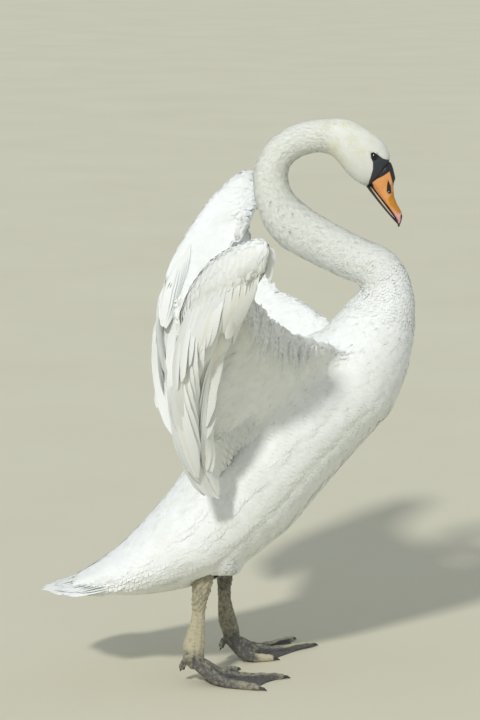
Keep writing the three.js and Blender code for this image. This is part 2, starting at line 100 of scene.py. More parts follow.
# A wing: how its feathers lie, its front and back edges, the middle line of the forearm with half its
# breadth, and its fans.
RIGHT_WING = {
    "side": "right", "outwards": (0, -1, 0),
    "feather_lie": (-0.25, 0.15, -0.95), "hand_lie": (-0.2, 0.35, -0.9),
    "leading_edge": [(205, -55, 592), (152, -135, 630), (100, -190, 651), (66, -250, 680),
                     (38, -310, 717), (28, -345, 755), (40, -392, 805), (47, -414, 832)],
    "trailing_edge": [(80, -55, 510), (0, -122, 466), (-64, -168, 466), (-96, -222, 548),
                      (-94, -262, 680), (-52, -312, 750), (0, -372, 805), (32, -405, 832)],
    "forearm": [(-90, -250, 676, 30), (-80, -272, 702, 38), (-60, -312, 744, 43),
                (-28, -362, 778, 45), (6, -402, 800, 44), (32, -424, 812, 34),
                (44, -430, 818, 18)],
    "alula": {
        "feathers": 3, "half_width": 5,
        "roots": [(40, -410, 822), (46, -414, 824), (52, -412, 822)],
        "middles": [(42, -414, 798), (49, -415, 800), (56, -412, 800)],
        "tips": [(42, -406, 774), (45, -406, 766), (51, -406, 776)],
    },
    "primaries": {
        "feathers": 10, "half_width": 19,
        "roots": [(26, -384, 776), (18, -332, 752), (6, -280, 728)],
        "middles": [(-52, -318, 650), (-72, -284, 600), (-86, -250, 560)],
        "tips": [(-60, -236, 520), (-56, -214, 432), (-40, -184, 352)],
    },
    "primary_coverts": {
        "feathers": 5, "half_width": 11,
        "roots": [(14, -398, 764), (24, -382, 768), (30, -362, 762)],
        "middles": [(-6, -386, 712), (6, -366, 712), (16, -346, 708)],
        "tips": [(-22, -352, 676), (-16, -336, 654), (-8, -322, 672)],
    },
    "secondaries": {
        "feathers": 12, "half_width": 20,
        "roots": [(-98, -252, 664), (-78, -300, 712), (-46, -350, 742), (-10, -392, 766), (22, -414, 784)],
        "middles": [(-130, -318, 545), (-116, -340, 585), (-92, -352, 625), (-56, -360, 665),
                    (-18, -372, 690)],
        "tips": [(-64, -222, 402), (-69, -240, 468), (-68, -256, 528), (-62, -266, 576), (-42, -268, 602)],
    },
    "tertials": {
        "feathers": 5, "half_width": 18,
        "roots": [(-70, -226, 628), (-84, -236, 644), (-96, -244, 656)],
        "middles": [(-104, -262, 490), (-120, -288, 515), (-130, -308, 535)],
        "tips": [(-34, -180, 350), (-50, -196, 366), (-62, -214, 392)],
    },
}
# Long feathers over the elbow of the left wing, on the face that looks at the neck.
ELBOW_FEATHERS = {
    "feathers": 16, "half_width": 18,
    "roots": [(-50, 340, 766), (-88, 308, 720), (-114, 280, 684), (-126, 285, 676)],
    "middles": [(-96, 350, 640), (-130, 322, 600), (-148, 288, 564), (-150, 258, 600)],
    "tips": [(-116, 312, 556), (-140, 284, 496), (-134, 260, 456), (-140, 252, 520)],
}
# Shorter ones that lie over their roots.
ELBOW_COVERTS = {
    "feathers": 6, "half_width": 13,
    "roots": [(-96, 290, 722), (-112, 284, 702), (-124, 286, 688)],
    "middles": [(-116, 250, 668), (-131, 244, 662), (-142, 262, 652)],
    "tips": [(-128, 246, 590), (-140, 248, 592), (-152, 256, 596)],
}
LEFT_WING = {
    "side": "left", "outwards": (0, 1, 0),
    "feather_lie": (-0.25, -0.15, -0.95), "hand_lie": (-0.2, -0.35, -0.9),
    "leading_edge": [(205, 55, 592), (152, 135, 632), (108, 192, 655), (60, 264, 673),
                     (34, 312, 722), (28, 348, 772), (31, 388, 826), (38, 412, 856)],
    "trailing_edge": [(80, 55, 510), (0, 122, 470), (-72, 172, 478), (-112, 228, 560),
                      (-128, 268, 690), (-82, 318, 758), (-20, 376, 826), (20, 404, 856)],
    "forearm": [(-132, 268, 648, 28), (-124, 284, 676, 36), (-104, 320, 714, 41),
                (-70, 356, 762, 43), (-36, 388, 802, 42), (0, 412, 830, 36),
                (24, 424, 844, 22), (34, 428, 850, 10)],
    "alula": {
        "feathers": 3, "half_width": 5,
        "roots": [(38, 400, 836), (44, 404, 838), (50, 402, 836)],
        "middles": [(38, 404, 812), (45, 404, 814), (51, 402, 814)],
        "tips": [(36, 392, 786), (39, 390, 776), (45, 392, 788)],
    },
    "primaries": {
        "feathers": 10, "half_width": 19,
        "roots": [(20, 384, 800), (8, 332, 776), (-6, 280, 750)],
        "middles": [(-74, 330, 660), (-100, 290, 610), (-118, 256, 570)],
        "tips": [(-120, 262, 520), (-120, 236, 440), (-104, 206, 366)],
    },
    "primary_coverts": {
        "feathers": 5, "half_width": 11,
        "roots": [(4, 398, 788), (14, 382, 792), (20, 362, 786)],
        "middles": [(-16, 386, 736), (-4, 366, 736), (6, 346, 732)],
        "tips": [(-34, 356, 698), (-28, 340, 678), (-20, 326, 694)],
    },
    "secondaries": {
        "feathers": 12, "half_width": 20,
        "roots": [(-138, 264, 636), (-118, 308, 680), (-84, 350, 726), (-46, 386, 764), (-6, 410, 796)],
        "middles": [(-168, 316, 526), (-164, 340, 565), (-140, 356, 612), (-102, 368, 655), (-60, 372, 694)],
        "tips": [(-128, 256, 396), (-150, 290, 424), (-154, 302, 462), (-138, 296, 510), (-108, 288, 552)],
    },
    "tertials": {
        "feathers": 5, "half_width": 18,
        "roots": [(-96, 232, 634), (-116, 246, 640), (-134, 256, 630)],
        "middles": [(-136, 268, 490), (-152, 292, 505), (-166, 308, 518)],
        "tips": [(-104, 222, 372), (-114, 236, 380), (-126, 250, 392)],
    },
}

# The coat along the body, by section: feather length, half width, depth over the skin, spacing, in mm.
COAT_ALONG = np.array([
    (0, 36, 11, 3, 7.2), (1.2, 44, 12, 4, 7.6), (3, 54, 14, 7, 8.2), (6, 52, 14, 8, 8.0), (8, 40, 12, 7, 6.8),
    (10, 27, 8.5, 5.2, 5.4), (12, 20, 6, 4.2, 4.6), (15, 17, 5, 3.6, 4.2), (18, 15, 4.4, 3.1, 3.8),
    (21, 11, 3.2, 2.2, 2.9), (22.5, 9, 2.3, 1.3, 2.1), (24.5, 7.5, 1.8, 0.9, 1.6), (26, 6.5, 1.5, 0.7, 1.5),
])
# The same four numbers for each limb.
COAT_OF_LIMB = {"inner_wing": (34, 10.5, 2.6, 8.0), "forearm": (19, 7, 1.9, 5.6), "hand": (19, 7, 1.9, 5.6),
                "shank": (14, 5, 2.6, 3.8)}
# Rows of coverts down the face of a forearm: place across it from its leading edge (-1) to its
# trailing edge (1), then length, half width and depth over the skin, in mm.
COVERT_ROWS = [(-0.8, 24, 9, 2), (-0.5, 28, 10, 2.5), (-0.2, 34, 11, 3), (0.1, 42, 13, 3), (0.4, 52, 14, 3.5),
               (0.7, 64, 15, 4)]

# Where each ankle comes out of the belly, and how far the feathers part upwards from it.
ANKLES = [((-61, -70), 10), ((-20, 70), 8)]

# ---- Camera ----


# Place in the bird's table, how far it looks down in degrees, and sensor and lens in mm.
CAMERA_PLACE = (0, -4500, 1380)
CAMERA_DIP = 10.2
SENSOR_WIDTH = 36
LENS = 131.4


def add_camera():
    data = bpy.data.cameras.new("camera")
    data.sensor_width = SENSOR_WIDTH
    data.lens = LENS
    camera = bpy.data.objects.new("camera", data)
    bpy.context.scene.collection.objects.link(camera)
    camera.location = place(CAMERA_PLACE)
    camera.rotation_euler = (math.radians(90 - CAMERA_DIP), 0, 0)
    bpy.context.scene.camera = camera


add_camera()

# ---- Materials ----


def linear(colour):
    """An sRGB hex colour as linear RGBA."""
    parts = [int(colour[i:i + 2], 16) / 255 for i in (1, 3, 5)]
    return (*(c / 12.92 if c <= 0.04045 else ((c + 0.055) / 1.055) ** 2.4 for c in parts), 1.0)


def add_node(tree, kind, inputs=None, **settings):
    """Adds a node. An input is another node's output socket, which is linked, or a value."""
    made = tree.nodes.new("ShaderNode" + kind)
    for name, value in settings.items():
        setattr(made, name, value)
    for key, value in (inputs or {}).items():
        socket = made.inputs[key]
        if isinstance(value, bpy.types.NodeSocket):
            tree.links.new(value, socket)
        else:
            socket.default_value = value
    return made


def new_material(name, **uniform):
    """A material with a Principled shader, whose uniform values are set on its own sockets."""
    made = bpy.data.materials.new(name)
    made.use_nodes = True
    shader = made.node_tree.nodes["Principled BSDF"]
    for key, value in uniform.items():
        shader.inputs[key.replace("_", " ").capitalize()].default_value = value
    return made, made.node_tree


# The top of the head in the bird's table, where the stain is strongest.
CROWN = (186, 0, 962)
# Barbs lie about 0.6 mm apart; drawn 3 mm apart, so that they show. Their map is in units of 100 mm.
BARB_SPACING = 0.03


def object_coords(tree):
    return add_node(tree, "TexCoord").outputs["Object"]


def attribute(tree, name):
    return add_node(tree, "Attribute", attribute_name=name).outputs["Fac"]


def noise(tree, coords, scale, detail, roughness=0.5):
    settings = {"Vector": coords, "Scale": scale, "Detail": detail, "Roughness": roughness}
    return add_node(tree, "TexNoise", settings).outputs["Fac"]


def mapped(tree, value, low, high, first=0.0, last=1.0, shape="LINEAR"):
    """A value from low to high, as one from first to last."""
    settings = {"Value": value, "From Min": low, "From Max": high, "To Min": first, "To Max": last}
    return add_node(tree, "MapRange", settings, interpolation_type=shape).outputs["Result"]


def calculated(tree, operation, *values):
    return add_node(tree, "Math", dict(enumerate(values)), operation=operation).outputs["Value"]


def mixed(tree, share, first, second):
    """One colour going over into another. Each is a socket or an sRGB hex colour."""
    first, second = (linear(c) if isinstance(c, str) else c for c in (first, second))
    return add_node(tree, "Mix", {0: share, 6: first, 7: second}, data_type="RGBA").outputs[2]


def mottled(tree, first, second, scale, detail, roughness=0.5):
    """Two sRGB hex colours in cloudy patches."""
    return mixed(tree, noise(tree, object_coords(tree), scale, detail, roughness), first, second)


def bumps(tree, height, strength, distance):
    settings = {"Strength": strength, "Distance": distance, "Height": height}
    return add_node(tree, "Bump", settings).outputs["Normal"]


def grain(tree, scale, strength, distance):
    """The fine bumps of horn and bare skin."""
    return bumps(tree, noise(tree, object_coords(tree), scale, 4, 0.6), strength, distance)


def painted(tree, base, *layers):
    """A colour with others laid over it, each where its attribute, a depth in mm, is above nothing."""
    colour = base
    for name, blur, paint in layers:
        colour = mixed(tree, mapped(tree, attribute(tree, name), -blur, blur), colour, paint)
    return colour


def coloured(made, colour, normal=None):
    """A new material, once its colour and its bumps are linked to its shader."""
    tree = made.node_tree
    shader = tree.nodes["Principled BSDF"]
    tree.links.new(colour, shader.inputs["Base Color"])
    if normal is not None:
        tree.links.new(normal, shader.inputs["Normal"])
    return made


def plumage_colour(tree):
    """The white of the coat, shared by skin and feathers: a little cream, painted shade over head and upper
    neck, and a stained crown.
    """
    coords = object_coords(tree)
    # Soft patches a hand wide, where preen oil and dust have dulled the white.
    dull = mapped(tree, noise(tree, coords, 14, 3, 0.6), 0.45, 0.75)
    white = mixed(tree, dull, "#F3F5F3", "#EBEDE7")
    # Painted shade: head and upper neck are a shade darker all over, as though out of the direct light.
    crown = add_node(tree, "VectorMath", {0: coords, 1: tuple(place(CROWN))}, operation="DISTANCE")
    head_shade_share = mapped(tree, crown.outputs["Value"], 0.14, 0.3, 0.8, 0.0, "SMOOTHSTEP")
    shaded_head_white = mixed(tree, head_shade_share, white, "#DFE0D2")
    # Iron and weed stain on the crown and nape, as mute swans get from feeding with the head under.
    near = mapped(tree, crown.outputs["Value"], 0.02, 0.075, 1.0, 0.0, "SMOOTHSTEP")
    blots = mapped(tree, noise(tree, coords, 45, 2), 0.4, 0.7)
    return mixed(tree, calculated(tree, "MULTIPLY", near, blots), shaded_head_white, "#D6D0A6")


def white_feather_material():
    """Unpigmented contour feathers, grown keratin barbs: matt white, each one a shade off the next."""
    made, tree = new_material("white_contour_feathers", roughness=0.8)
    return coloured(made, mixed(tree, attribute(tree, "tone"), plumage_colour(tree), "#E8EAE5"))


def flight_feather_material():
    """Unpigmented flight feathers: satin white vanes of fine slanting barbs on an ivory shaft."""
    made, tree = new_material("white_flight_feathers", roughness=0.6)
    vane = add_node(tree, "UVMap", uv_map="vane").outputs["UV"]
    split = add_node(tree, "SeparateXYZ", {0: vane})
    side = calculated(tree, "ABSOLUTE", calculated(tree, "SUBTRACT", split.outputs["Y"], 0.5))
    slant = calculated(tree, "MULTIPLY_ADD", side, 0.8, split.outputs["X"])
    wave = calculated(tree, "SINE", calculated(tree, "MULTIPLY", slant, 2 * math.pi / BARB_SPACING))
    lines = mapped(tree, wave, -1.0, 1.0)
    white = mixed(tree, attribute(tree, "tone"), "#F4F6F4", "#EAECE8")
    barbs = mixed(tree, lines, white, "#E9EBE7")
    return coloured(made, mixed(tree, attribute(tree, "shaft"), barbs, "#EBE9DE"),
                    bumps(tree, lines, 0.35, 0.0006))


WHITE = white_feather_material()
FLIGHT = flight_feather_material()

# ---- Curves and meshes ----


def through(rows, share):
    """A point of the smooth curve through the rows, at a share of its length by row number."""
    rows = np.asarray(rows, float)
    ends = np.vstack([2 * rows[0] - rows[1], rows, 2 * rows[-1] - rows[-2]])
    t = np.clip(np.atleast_1d(share), 0, 1) * (len(rows) - 1)
    i = np.minimum(t.astype(int), len(rows) - 2)
    f = (t - i)[:, None]
    a, b, c, d = (ends[i + k] for k in range(4))
    return 0.5 * (2 * b + (c - a) * f + (2 * a - 5 * b + 4 * c - d) * f**2 + (3 * b - a - 3 * c + d) * f**3)


def unit(vectors):
    return vectors / np.maximum(np.linalg.norm(vectors, axis=-1, keepdims=True), 1e-12)


def flatten(vectors, normals):
    """The vectors laid into the planes that the normals stand on."""
    return unit(vectors - normals * (vectors * normals).sum(-1, keepdims=True))


def read(collection, key, width, kind=np.float64):
    values = np.empty(len(collection) * width, kind)
    collection.foreach_get(key, values)
    return values.reshape(-1, width) if width > 1 else values


def points_of(mesh):
    return read(mesh.vertices, "co", 3)


def slopes_of(mesh):
    return read(mesh.vertex_normals, "vector", 3)


def edges_of(mesh):
    return read(mesh.edges, "vertices", 2, np.int32)


def move_points(mesh, points):
    mesh.vertices.foreach_set("co", points.astype(np.float32).ravel())
    mesh.update()


def rising(value, start, width):
    """From nothing at the start to one a width further on."""
    return np.clip((value - start) / width, 0, 1)


def falling(value, end, width):
    """From one a width before the end to nothing at the end."""
    return np.clip((end - value) / width, 0, 1)


def nearest(tree, points):
    """The places on a tree's faces nearest to the points, their slopes, and the numbers of the faces."""
    spots, slopes, faces, _ = zip(*(tree.find_nearest(p) for p in points.tolist()))
    return np.array(spots), np.array(slopes), np.array(faces)


def mesh_from(name, shape):
    """A mesh of a bmesh, which is freed."""
    mesh = bpy.data.meshes.new(name)
    shape.to_mesh(mesh)
    shape.free()
    return mesh


def new_object(name, mesh, *materials):
    made = bpy.data.objects.new(name, mesh)
    bpy.context.scene.collection.objects.link(made)
    for surface in materials:
        mesh.materials.append(surface)
    return made


def gathered(names):
    """One bmesh of these solids, their loose triangles merged."""
    shape = bmesh.new()
    for name in names:
        shape.from_mesh(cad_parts[name].data)
    bmesh.ops.remove_doubles(shape, verts=shape.verts, dist=1e-6)
    return shape


def baked(thing):
    """Applies an object's modifiers to its mesh."""
    graph = bpy.context.evaluated_depsgraph_get()
    mesh = bpy.data.meshes.new_from_object(thing.evaluated_get(graph))
    thing.modifiers.clear()
    thing.data = mesh
    return thing


def remeshed(name, names, voxel, *materials):
    """One closed mesh around these solids, of faces about one voxel wide."""
    thing = new_object(name, mesh_from(name, gathered(names)))
    modifier = thing.modifiers.new("voxels", "REMESH")
    modifier.mode = "VOXEL"
    modifier.voxel_size = voxel
    baked(thing)
    for surface in materials:
        thing.data.materials.append(surface)
    return thing


def even_out(values, edges, rounds, keep_volume=True):
    """Averages values over the edges of a mesh. Every second round pushes back, to keep its volume."""
    count = np.maximum(np.bincount(edges.ravel(), minlength=len(values)), 1)[:, None]
    for turn in range(rounds):
        total = np.zeros_like(values)
        for column in range(values.shape[1]):
            total[:, column] = np.bincount(edges[:, 0], values[edges[:, 1], column], len(values))
            total[:, column] += np.bincount(edges[:, 1], values[edges[:, 0], column], len(values))
        pull = -0.53 if keep_volume and turn % 2 else 0.5
        values = values + pull * (total / count - values)
    return values


def smooth_mesh(mesh, rounds):
    move_points(mesh, even_out(points_of(mesh), edges_of(mesh), rounds))


def shade_smooth(mesh):
    mesh.polygons.foreach_set("use_smooth", np.ones(len(mesh.polygons), bool))


def write_attribute(mesh, name, values):
    made = mesh.attributes.new(name, "FLOAT", "POINT")
    made.data.foreach_set("value", np.asarray(values, np.float32))


# ---- The skin ----


def middle_line():
    """The body's middle line as section numbers, places and tailward directions."""
    numbers = np.linspace(0, LAST_SECTION, LAST_SECTION * STEPS_OF_SECTION + 1)
    line = through([(x, 0, z) for x, z, *_ in BODY_SECTIONS], numbers / LAST_SECTION)
    return numbers, place(line), unit(-np.gradient(line, axis=0))


def wing_edges(wing, shares):
    """Places on the front and the back edge of an inner wing."""
    return (place(through(wing[edge], shares)) for edge in ("leading_edge", "trailing_edge"))


def limb_lie(part, side, points):
    """The way that the feathers lie at points on a limb, and their size: finer at a wing's front edge."""
    wing = RIGHT_WING if side == "right" else LEFT_WING
    if part == "shank":
        return np.tile((0.0, 0.0, -1.0), (len(points), 1)), 1
    if part != "inner_wing":
        lie = wing["feather_lie" if part == "forearm" else "hand_lie"]
        return np.tile(unit(np.array(lie)), (len(points), 1)), 1
    front, back = wing_edges(wing, np.linspace(0, 1, 60))
    way = back - front
    reach = np.clip(np.einsum("psk,sk->ps", points[:, None] - front, way) / (way**2).sum(1), 0, 1)
    gap = points[:, None] - (front + reach[..., None] * way)
    nearest = (gap**2).sum(-1).argmin(1)
    return unit(way)[nearest], 0.5 + 0.5 * np.clip(reach[np.arange(len(points)), nearest, None] / 0.3, 0, 1)


def part_mask(parts, *names):
    return np.isin(parts, [FLESH.index(n) for n in names])


# Widths of the voxels that each kind of piece is made of, in metres.
SKIN_VOXEL, HORN_VOXEL, LEG_VOXEL, CLAW_VOXEL = 0.005, 0.0009, 0.0014, 0.0005
HEAD_MIDDLE = (205, 0, 925)
FAIRING_ROUNDS = 700


class Skin:
    """The skin before and after it is drawn in under the coat, with what the coat reads from it."""

    def __init__(self):
        self.thing = remeshed("skin", FLESH, SKIN_VOXEL)
        mesh = self.thing.data
        smooth_mesh(mesh, 12)
        self.refine_face(mesh)
        self.outer = points_of(mesh)
        self.edges = edges_of(mesh)
        self.find_parts()
        self.fair()
        self.melt("inner_wing", reach=90, rounds=60)
        self.melt("shank", reach=20, rounds=30)
        move_points(mesh, self.outer)
        self.normals = slopes_of(mesh)
        self.find_coat()
        move_points(mesh, self.outer - self.normals * self.depth[:, None])
        shade_smooth(mesh)
        self.unwrap()
        mesh.calc_loop_triangles()
        self.triangles = read(mesh.loop_triangles, "vertices", 3, np.int32)
        self.triangle_loops = read(mesh.loop_triangles, "loops", 3, np.int32)

    def refine_face(self, mesh):
        """Halves the size of the faces on the head, then smooths them."""
        middle = Vector(place(HEAD_MIDDLE).tolist())
        shape = bmesh.new()
        shape.from_mesh(mesh)
        near = [e for e in shape.edges if all((v.co - middle).length < 0.075 for v in e.verts)]
        bmesh.ops.subdivide_edges(shape, edges=near, cuts=1, use_grid_fill=True)
        fine = [v for v in shape.verts if (v.co - middle).length < 0.07]
        for _ in range(3):
            bmesh.ops.smooth_vert(shape, verts=fine, factor=0.4, use_axis_x=True, use_axis_y=True,
                                  use_axis_z=True)
        shape.to_mesh(mesh)
        shape.free()

    def fair(self):
        """Rounds the flat sides of the solids off the broad forms, and draws the belly up at the legs."""
        broad = part_mask(self.part, "trunk", "neck_1", "neck_2", "neck_3", "neck_4", "inner_wing_right",
                          "inner_wing_left").astype(float)[:, None]
        weight = even_out(broad, self.edges, 6, keep_volume=False)
        for turn in range(FAIRING_ROUNDS):
            step = even_out(self.outer, self.edges, 1, keep_volume=False) - self.outer
            self.outer += weight * step * (-1.02 if turn % 2 else 1)
        table = (self.outer - ORIGIN) / MM
        under = falling(table[:, 2], 330, 60) * np.exp(-(((table[:, 0] - 20) / 50) ** 2))
        self.outer[:, 2] += 6 * MM * under * part_mask(self.part, "trunk")
        for (x, y), rise in ANKLES:
            near = np.exp(-((np.hypot(table[:, 0] - x, table[:, 1] - y) / 42) ** 2))
            self.outer[:, 2] += rise * MM * near * falling(table[:, 2], 270, 60)

    def melt(self, limb, reach, rounds):
        """Fills the step where a limb meets the trunk, as the feathers there do."""
        there = part_mask(self.part, f"{limb}_right", f"{limb}_left").astype(float)[:, None]
        share = even_out(there, self.edges, reach, keep_volume=False)
        weight = np.clip(4 * share * (1 - share), 0, 1)
        for _ in range(rounds):
            self.outer += weight * (even_out(self.outer, self.edges, 1, keep_volume=False) - self.outer)

    def find_parts(self):
        """Which solid each point of the skin lies nearest to."""
        corners, faces, owners = [], [], []
        for number, name in enumerate(FLESH):
            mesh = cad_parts[name].data
            mesh.calc_loop_triangles()
            start = sum(map(len, corners))
            corners.append(points_of(mesh))
            faces.append(read(mesh.loop_triangles, "vertices", 3, np.int32) + start)
            owners.append(np.full(len(faces[-1]), number))
        owners = np.concatenate(owners)
        tree = BVHTree.FromPolygons(np.vstack(corners).tolist(), np.vstack(faces).tolist())
        self.part = owners[nearest(tree, self.outer)[2]]

    def find_coat(self):
        """The lie, length, half width, depth and spacing of the coat at each point of the skin."""
        numbers, line, tailwards = middle_line()
        count = len(self.outer)
        self.section = np.full(count, -1.0)
        self.lie = np.zeros((count, 3))
        coat = np.zeros((count, 4))
        for number, name in enumerate(FLESH):
            here = np.flatnonzero(self.part == number)
            points = self.outer[here]
            if name in BODY_PARTS:
                low, high = BODY_PARTS[name]
                span = np.flatnonzero((numbers >= low) & (numbers <= high))
                gap = points[:, None, ::2] - line[None, span, ::2]
                nearest = span[(gap**2).sum(-1).argmin(1)]
                self.section[here] = numbers[nearest]
                self.lie[here] = tailwards[nearest]
                for column, values in enumerate(COAT_ALONG.T[1:]):
                    coat[here, column] = np.interp(numbers[nearest], COAT_ALONG[:, 0], values)
            else:
                part, side = name.rsplit("_", 1)
                self.lie[here], size = limb_lie(part, side, points)
                coat[here] = np.array(COAT_OF_LIMB[part]) * size
        coat = even_out(coat, self.edges, 10, keep_volume=False) * MM
        self.length, self.half_width, self.depth, self.spacing = coat.T
        lie = unit(even_out(self.lie, self.edges, 24, keep_volume=False))
        # Feathers are short where the skin faces against their lie, and none grow where it faces with it.
        along = (lie * self.normals).sum(-1)
        self.length = self.length * (1 - 0.6 * np.clip(-along, 0, 1))
        self.grown = along < 0.55
        self.lie = flatten(lie, self.normals)

    def unwrap(self):
        """Lays the skin out flat. Each tuft's map is a small patch at its root's place on this."""
        bpy.ops.object.select_all(action="DESELECT")
        bpy.context.view_layer.objects.active = self.thing
        self.thing.select_set(True)
        bpy.ops.object.mode_set(mode="EDIT")
        bpy.ops.mesh.select_all(action="SELECT")
        bpy.ops.uv.smart_project(angle_limit=math.radians(70), island_margin=0.002)
        bpy.ops.object.mode_set(mode="OBJECT")
        self.thing.data.uv_layers[0].name = "OFBake"
        self.uv = read(self.thing.data.uv_layers[0].uv, "vector", 2)

    def scatter(self, where, spacing_scale=1.0):
        """Roots for feathers, about one spacing apart, on the triangles where `where` holds."""
        chosen = np.flatnonzero((where & self.grown)[self.triangles].all(1))
        corners = self.outer[self.triangles[chosen]]
        sides = corners[:, 1:] - corners[:, :1]
        area = np.linalg.norm(np.cross(sides[:, 0], sides[:, 1]), axis=1) / 2
        spacing = self.spacing[self.triangles[chosen]].mean(1) * spacing_scale
        expected = area / spacing**2
        picked = rng.choice(len(chosen), int(expected.sum() * 2.2), p=expected / expected.sum())
        split = np.sort(rng.random((len(picked), 2)), axis=1)
        share = np.stack([split[:, 0], split[:, 1] - split[:, 0], 1 - split[:, 1]], 1)
        points = np.einsum("pk,pkd->pd", share, corners[picked])
        level = np.round(np.log(spacing[picked] / MM) / math.log(1.2))
        cells = np.floor(points / (MM * 1.2**level * 1.18)[:, None])
        _, first = np.unique(np.column_stack([cells, level]), axis=0, return_index=True)
        return self.roots(chosen[picked[first]], share[first])

    def roots(self, triangle, share):
        """What a feather needs to know of the places on the skin where it grows."""
        corners = self.triangles[triangle]

        def blend(values):
            return np.einsum("pk,pk...->p...", share, values[corners])

        uv = np.einsum("pk,pkd->pd", share, self.uv[self.triangle_loops[triangle]])
        normal = unit(blend(self.normals))
        return {"point": blend(self.outer), "normal": normal, "lie": flatten(blend(self.lie), normal),
                "length": blend(self.length), "half_width": blend(self.half_width),
                "depth": blend(self.depth), "uv": uv, "part": self.part[corners[:, 0]]}

    def roots_near(self, points):
        """Roots at the places on the skin that are nearest to the points."""
        tree = BVHTree.FromPolygons(self.outer.tolist(), self.triangles.tolist())
        spot, _, triangle = nearest(tree, points)
        a, b, c = np.moveaxis(self.outer[self.triangles[triangle]], 1, 0)
        whole = np.cross(b - a, c - a)
        size = np.maximum((whole**2).sum(1), 1e-18)
        second = (np.cross(spot - a, c - a) * whole).sum(1) / size
        third = (np.cross(b - a, spot - a) * whole).sum(1) / size
        share = np.clip(np.stack([1 - second - third, second, third], 1), 0, 1)
        return self.roots(triangle, share / share.sum(1, keepdims=True))


skin = Skin()

# ---- Feathers ----

# Half width of a feather along its length, as a share of its widest.
ROUND_VANE = [(0, 0.25), (0.15, 0.7), (0.4, 1.0), (0.64, 0.97), (0.82, 0.78), (0.94, 0.46), (1.0, 0.2),
              (1.3, 0.06)]
LONG_VANE = [(0, 0.2), (0.08, 0.62), (0.25, 0.95), (0.5, 1.0), (0.8, 0.86), (0.93, 0.58), (1.0, 0.08)]
COVERT_VANE = [(0, 0.3), (0.15, 0.7), (0.4, 1.0), (0.72, 0.97), (0.88, 0.78), (0.96, 0.48), (1.0, 0.12)]


def taken_faces(shape):
    """The corners of a bmesh's faces, as numbers. The bmesh is freed."""
    faces = np.array([[v.index for v in face.verts] for face in shape.faces])
    shape.free()
    return faces


def tuft_pattern(locks, columns, outline, slant, notch):
    """A small feather: pairs of barb locks that leave the shaft slanting, split apart at the edge."""
    shape = bmesh.new()
    bmesh.ops.create_grid(shape, x_segments=locks, y_segments=2 * columns, size=1)
    across = [e for e in shape.edges
              if abs(e.verts[0].co.x - e.verts[1].co.x) < 1e-6 and abs(e.verts[0].co.x) < 0.999]
    bmesh.ops.split_edges(shape, edges=across)
    shape.verts.index_update()
    places = np.zeros((len(shape.verts), 2))
    for face in shape.faces:
        low = min(v.co.x for v in face.verts)
        for vert in face.verts:
            along, side = (vert.co.x + 1) / 2, vert.co.y
            tipward = vert.co.x > low + 1e-6
            along += slant * abs(side) ** 1.3 - (notch / locks) * abs(side) ** 2 * tipward
            places[vert.index] = along, side * np.interp(along, *zip(*outline))
    return {"places": places, "faces": taken_faces(shape), "shaft": None}


def flight_pattern(rows, outline):
    """A long feather: two close vanes on a raised shaft."""
    shape = bmesh.new()
    steps = [-1, -0.66, -0.3, -0.035, 0.035, 0.3, 0.66, 1]
    bmesh.ops.create_grid(shape, x_segments=rows, y_segments=len(steps) - 1, size=1)
    shape.verts.index_update()
    places = np.array([v.co[:2] for v in shape.verts])
    along = (places[:, 0] + 1) / 2
    column = np.round((places[:, 1] + 1) / 2 * (len(steps) - 1)).astype(int)
    side = np.array(steps)[column]
    shaft = (np.abs(side) < 0.1).astype(float)
    wide = np.interp(along, *zip(*outline))
    # The shaft keeps its width and tapers to the tip, whatever the vane does.
    spread = np.where(shaft > 0, side * (1.3 - along), side * wide)
    return {"places": np.column_stack([along, spread]), "faces": taken_faces(shape), "shaft": shaft}


def along_spine(share):
    """Weights of four points a third apart on a cubic through them."""
    t = np.asarray(share)[:, None]
    knots = np.array([0, 1 / 3, 2 / 3, 1])
    weights = np.ones((len(t), 4))
    for k in range(4):
        for j in range(4):
            if j != k:
                weights[:, k] *= (t[:, 0] - knots[j]) / (knots[k] - knots[j])
    return weights


MOST_TRIANGLES = 190000
BAKE_PATCH = 0.003
SHAFT_HEIGHT = 0.0006
made_triangles = []


